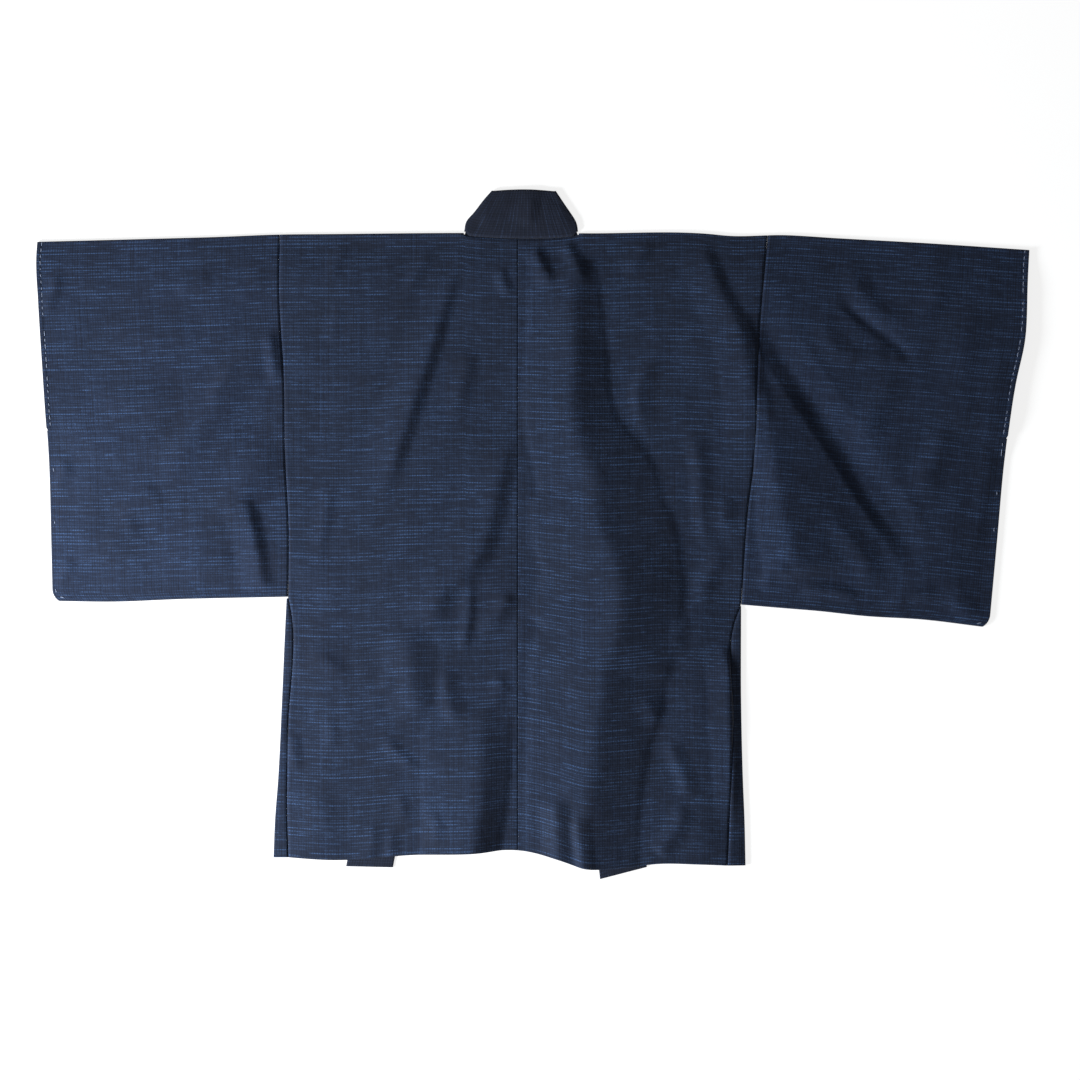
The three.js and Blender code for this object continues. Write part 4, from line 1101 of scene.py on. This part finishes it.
def stitch_tree(material):
    """Stitches laid along curves: short round-ended threads, uneven in length, with a few missing."""
    tree = bpy.data.node_groups.new("Running stitches", "GeometryNodeTree")
    face = tree.interface
    face.new_socket("Curve", in_out="INPUT", socket_type="NodeSocketGeometry")
    for name, value in (("Pitch", 0.009), ("Length", 0.007), ("Radius", 0.0005), ("Missing", 0.1)):
        socket = face.new_socket(name, in_out="INPUT", socket_type="NodeSocketFloat")
        socket.default_value = value
    face.new_socket("Seed", in_out="INPUT", socket_type="NodeSocketInt").default_value = 7
    face.new_socket("Stitches", in_out="OUTPUT", socket_type="NodeSocketGeometry")
    given = add_node(tree, "NodeGroupInput").outputs
    points = add_node(
        tree, "GeometryNodeCurveToPoints", {"mode": "LENGTH"}, Curve=given["Curve"], Length=given["Pitch"]
    )
    seed = given["Seed"]
    drop = add_node(
        tree, "FunctionNodeRandomValue", {"data_type": "BOOLEAN"}, Probability=given["Missing"], Seed=seed
    ).outputs[3]
    kept = add_node(tree, "GeometryNodeDeleteGeometry", {"domain": "POINT"}, Geometry=points, Selection=drop)
    thread = add_node(tree, "GeometryNodeMeshUVSphere", None, Segments=8, Rings=6, Radius=1.0)
    uneven = add_node(
        tree, "FunctionNodeRandomValue", {"data_type": "FLOAT"}, i2=SHORTEST, i3=LONGEST, Seed=seed
    ).outputs[1]
    half = add_node(tree, MATH, TIMES, i0=given["Length"], i1=0.5)
    half = add_node(tree, MATH, TIMES, i0=half, i1=uneven)
    radius = given["Radius"]
    size = add_node(tree, "ShaderNodeCombineXYZ", None, X=radius, Y=radius, Z=half)
    turn = points.outputs["Rotation"]
    laid = add_node(
        tree, "GeometryNodeInstanceOnPoints", None, Points=kept, Instance=thread, Rotation=turn, Scale=size
    )
    solid = add_node(tree, "GeometryNodeRealizeInstances", None, Geometry=laid)
    dressed = add_node(tree, "GeometryNodeSetMaterial", None, Geometry=solid, Material=material)
    add_node(tree, "NodeGroupOutput", None, Stitches=dressed)
    return tree


def curve_object(name, runs):
    curve = bpy.data.curves.new(name, "CURVE")
    curve.dimensions = "3D"
    for run in runs:
        spline = curve.splines.new("POLY")
        spline.points.add(len(run) - 1)
        for point, place in zip(spline.points, run):
            point.co = (*place, 1.0)
    guide = bpy.data.objects.new(name, curve)
    bpy.context.scene.collection.objects.link(guide)
    return guide


def cuff_runs(cut, stitches):
    """Where the cuff's stitches lie: a run down the opening, a few lone ones below, and the sewn corner."""
    top = cut.cuff["down"][0]
    runs = []
    spans = [(top + 3, STITCH_RUN_END[cut.side])] + LONE_STITCHES[cut.side]
    for start, end in spans:
        down = np.arange(start, end + 0.1, 3.0)
        wander = STITCH_WANDER * patches(down, np.zeros(down.shape), WANDER_SIZE, 5 + cut.sign)
        out = read(cut.cuff, "down", "out", down) - stitches.inset + wander
        runs.append((cut.sign * out, down))
    bottom = cut.sleeve_bottom["down"][-1]
    cuff_out = read(cut.cuff, "down", "out", bottom)
    angle = np.radians(np.arange(12, 80, 6))
    ring = CORNER_RADIUS - CORNER_STITCH_INSET
    centre = (cuff_out - CORNER_RADIUS, bottom - CORNER_RADIUS)
    runs.append((cut.sign * (centre[0] + ring * np.cos(angle)), centre[1] + ring * np.sin(angle)))
    placed = []
    for across, down in runs:
        lift = BACK_MIDDLE + upper_lift(across, down) + TOP_OF_CLOTH + 0.35 * stitches.radius
        points = flat_points(across, down, lift)
        placed.append(np.array([CENTRE_X, SHOULDER_Y, 0.0]) + points * np.array([MM, -MM, MM]))
    return placed


class HAORI_OT_stitches(bpy.types.Operator):
    bl_idname = "haori.stitches"
    bl_label = "Cuff stitches"

    def execute(self, context):
        stitches = context.scene.haori_stitches
        thread = material_named("Twisted sewing cotton", cotton_thread, stitches.colour)
        tree = stitch_tree(thread)
        for cut in (LEFT, RIGHT):
            sleeve = bpy.data.objects.get(f"sleeve_{cut.side}_cloth")
            if sleeve is None:
                raise RuntimeError("the sleeves are made before their stitches")
            guide = curve_object(f"cuff_guide_{cut.side}", cuff_runs(cut, stitches))
            sewing = guide.modifiers.new("Sewing", "NODES")
            sewing.node_group = tree
            values = {
                "Pitch": stitches.pitch * MM,
                "Length": stitches.length * MM,
                "Radius": stitches.radius * MM,
                "Missing": 0.12,
                "Seed": 7 + cut.sign,
            }
            for item in tree.interface.items_tree:
                if item.item_type == "SOCKET" and item.in_out == "INPUT" and item.name in values:
                    sewing[item.identifier] = values[item.name]
            evaluated = guide.evaluated_get(context.evaluated_depsgraph_get())
            mesh = bpy.data.meshes.new_from_object(evaluated)
            mesh.name = f"cuff_stitches_{cut.side}"
            piece = bpy.data.objects.new(f"cuff_stitches_{cut.side}", mesh)
            context.scene.collection.objects.link(piece)
            curve = guide.data
            bpy.data.objects.remove(guide)
            bpy.data.curves.remove(curve)
            if not mesh.polygons:
                raise RuntimeError(f"no stitches on the {cut.side} cuff")
            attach(piece, "root")
            declare(sleeve, f"sleeve_{cut.side}")
        return {"FINISHED"}


# ------------------------------------------------------------------ stage
# Places are in metres, from the point that the camera aims at.
KEY_PLACE = (-2.10, -0.85, 0.85)
KEY_WIDTH, KEY_DEPTH = 0.9, 0.6
FLOOR_HALF = 8.0
FLOOR_DROP = 0.0004  # keeps the floor off the cloth's underside
SENSOR = 36.0  # mm


def pale_board(name):
    """Matt white lacquered board, lit through: stays pale all over, with a very fine tooth."""
    material = empty_material(name)
    tree = material.node_tree
    place = add_node(tree, "ShaderNodeTexCoord").outputs["Object"]
    tooth = add_node(tree, NOISE, None, Vector=place, Scale=400.0, Detail=2.0)
    low, high = (0.50, 0.50, 0.505, 1.0), (0.53, 0.53, 0.532, 1.0)
    shade = add_node(tree, MIX, OF_COLOURS, i0=tooth, i6=low, i7=high).outputs[2]
    shader = add_node(
        tree, "ShaderNodeBsdfPrincipled", None, Base_Color=shade, Roughness=0.9, Specular_IOR_Level=0.1,
        Emission_Color=(1.0, 1.0, 1.0, 1.0), Emission_Strength=0.80,
    )
    add_node(tree, "ShaderNodeOutputMaterial", None, Surface=shader)
    return material


class HAORI_OT_stage(bpy.types.Operator):
    """Set up the pale floor, the soft light from the lower left and the camera overhead"""

    bl_idname = "haori.stage"
    bl_label = "Stage"

    def execute(self, context):
        stage = context.scene.haori_stage
        mesh = bpy.data.meshes.new("floor")
        square = ((-1, -1), (1, -1), (1, 1), (-1, 1))
        corners = [(x * FLOOR_HALF, y * FLOOR_HALF, -FLOOR_DROP) for x, y in square]
        mesh.from_pydata(corners, [], [(0, 1, 2, 3)])
        mesh.materials.append(pale_board("White lacquered board"))
        floor = bpy.data.objects.new("floor", mesh)
        context.scene.collection.objects.link(floor)

        aim = Vector((CENTRE_X + stage.aim_across * MM, SHOULDER_Y - stage.aim_down * MM, 0.0))
        camera_data = bpy.data.cameras.new("Overhead")
        camera_data.lens = stage.lens
        camera_data.sensor_width = SENSOR
        camera_data.clip_end = 50.0
        camera = bpy.data.objects.new("Overhead", camera_data)
        camera.location = aim + Vector((0.0, 0.0, stage.frame_width * stage.lens / SENSOR))
        context.scene.collection.objects.link(camera)
        context.scene.camera = camera

        key_data = bpy.data.lights.new("Key", "AREA")
        key_data.shape = "RECTANGLE"
        key_data.size, key_data.size_y = KEY_WIDTH, KEY_DEPTH
        key_data.energy = stage.key_power
        key_data.color = (0.93, 0.97, 1.0)
        key = bpy.data.objects.new("Key", key_data)
        key.location = aim + Vector(KEY_PLACE)
        key.rotation_euler = (aim - key.location).to_track_quat("-Z", "Y").to_euler()
        context.scene.collection.objects.link(key)

        world = bpy.data.worlds.new("Even light")
        world.use_nodes = True
        background = world.node_tree.nodes["Background"]
        background.inputs["Color"].default_value = (1.0, 0.97, 0.93, 1.0)
        background.inputs["Strength"].default_value = stage.fill
        context.scene.world = world
        context.scene.view_settings.view_transform = "Standard"
        return {"FINISHED"}


class HAORI_PT_panel(bpy.types.Panel):
    """Lists the pieces of the jacket and its stage"""

    bl_idname = "HAORI_PT_panel"
    bl_label = "Haori jacket"
    bl_space_type = "VIEW_3D"
    bl_region_type = "UI"
    bl_category = "Haori"

    def draw(self, context):
        for group, operators in PANEL_ROWS:
            box = self.layout.box()
            settings = getattr(context.scene, group)
            for name in settings.__annotations__:
                box.prop(settings, name)
            for operator in operators:
                box.operator(operator.bl_idname)


SETTINGS = {
    "haori_cloth": HaoriClothSettings,
    "haori_stitches": HaoriStitchSettings,
    "haori_stage": HaoriStageSettings,
}
PANEL_ROWS = [
    ("haori_cloth", [HAORI_OT_body, HAORI_OT_sleeves, HAORI_OT_gussets, HAORI_OT_collar]),
    ("haori_stitches", [HAORI_OT_stitches]),
    ("haori_stage", [HAORI_OT_stage]),
]
OPERATORS = [operator for _, operators in PANEL_ROWS for operator in operators]


def register():
    for kind in (*SETTINGS.values(), *OPERATORS, HAORI_PT_panel):
        bpy.utils.register_class(kind)
    for name, kind in SETTINGS.items():
        setattr(bpy.types.Scene, name, bpy.props.PointerProperty(type=kind))


def unregister():
    for name in SETTINGS:
        delattr(bpy.types.Scene, name)
    for kind in (HAORI_PT_panel, *reversed(OPERATORS), *reversed(list(SETTINGS.values()))):
        bpy.utils.unregister_class(kind)


def main():
    register()
    bpy.ops.haori.stage()
    bpy.ops.haori.body()
    bpy.ops.haori.sleeves()
    bpy.ops.haori.gussets()
    bpy.ops.haori.collar()
    bpy.ops.haori.stitches()


if __name__ == "__main__":
    main()
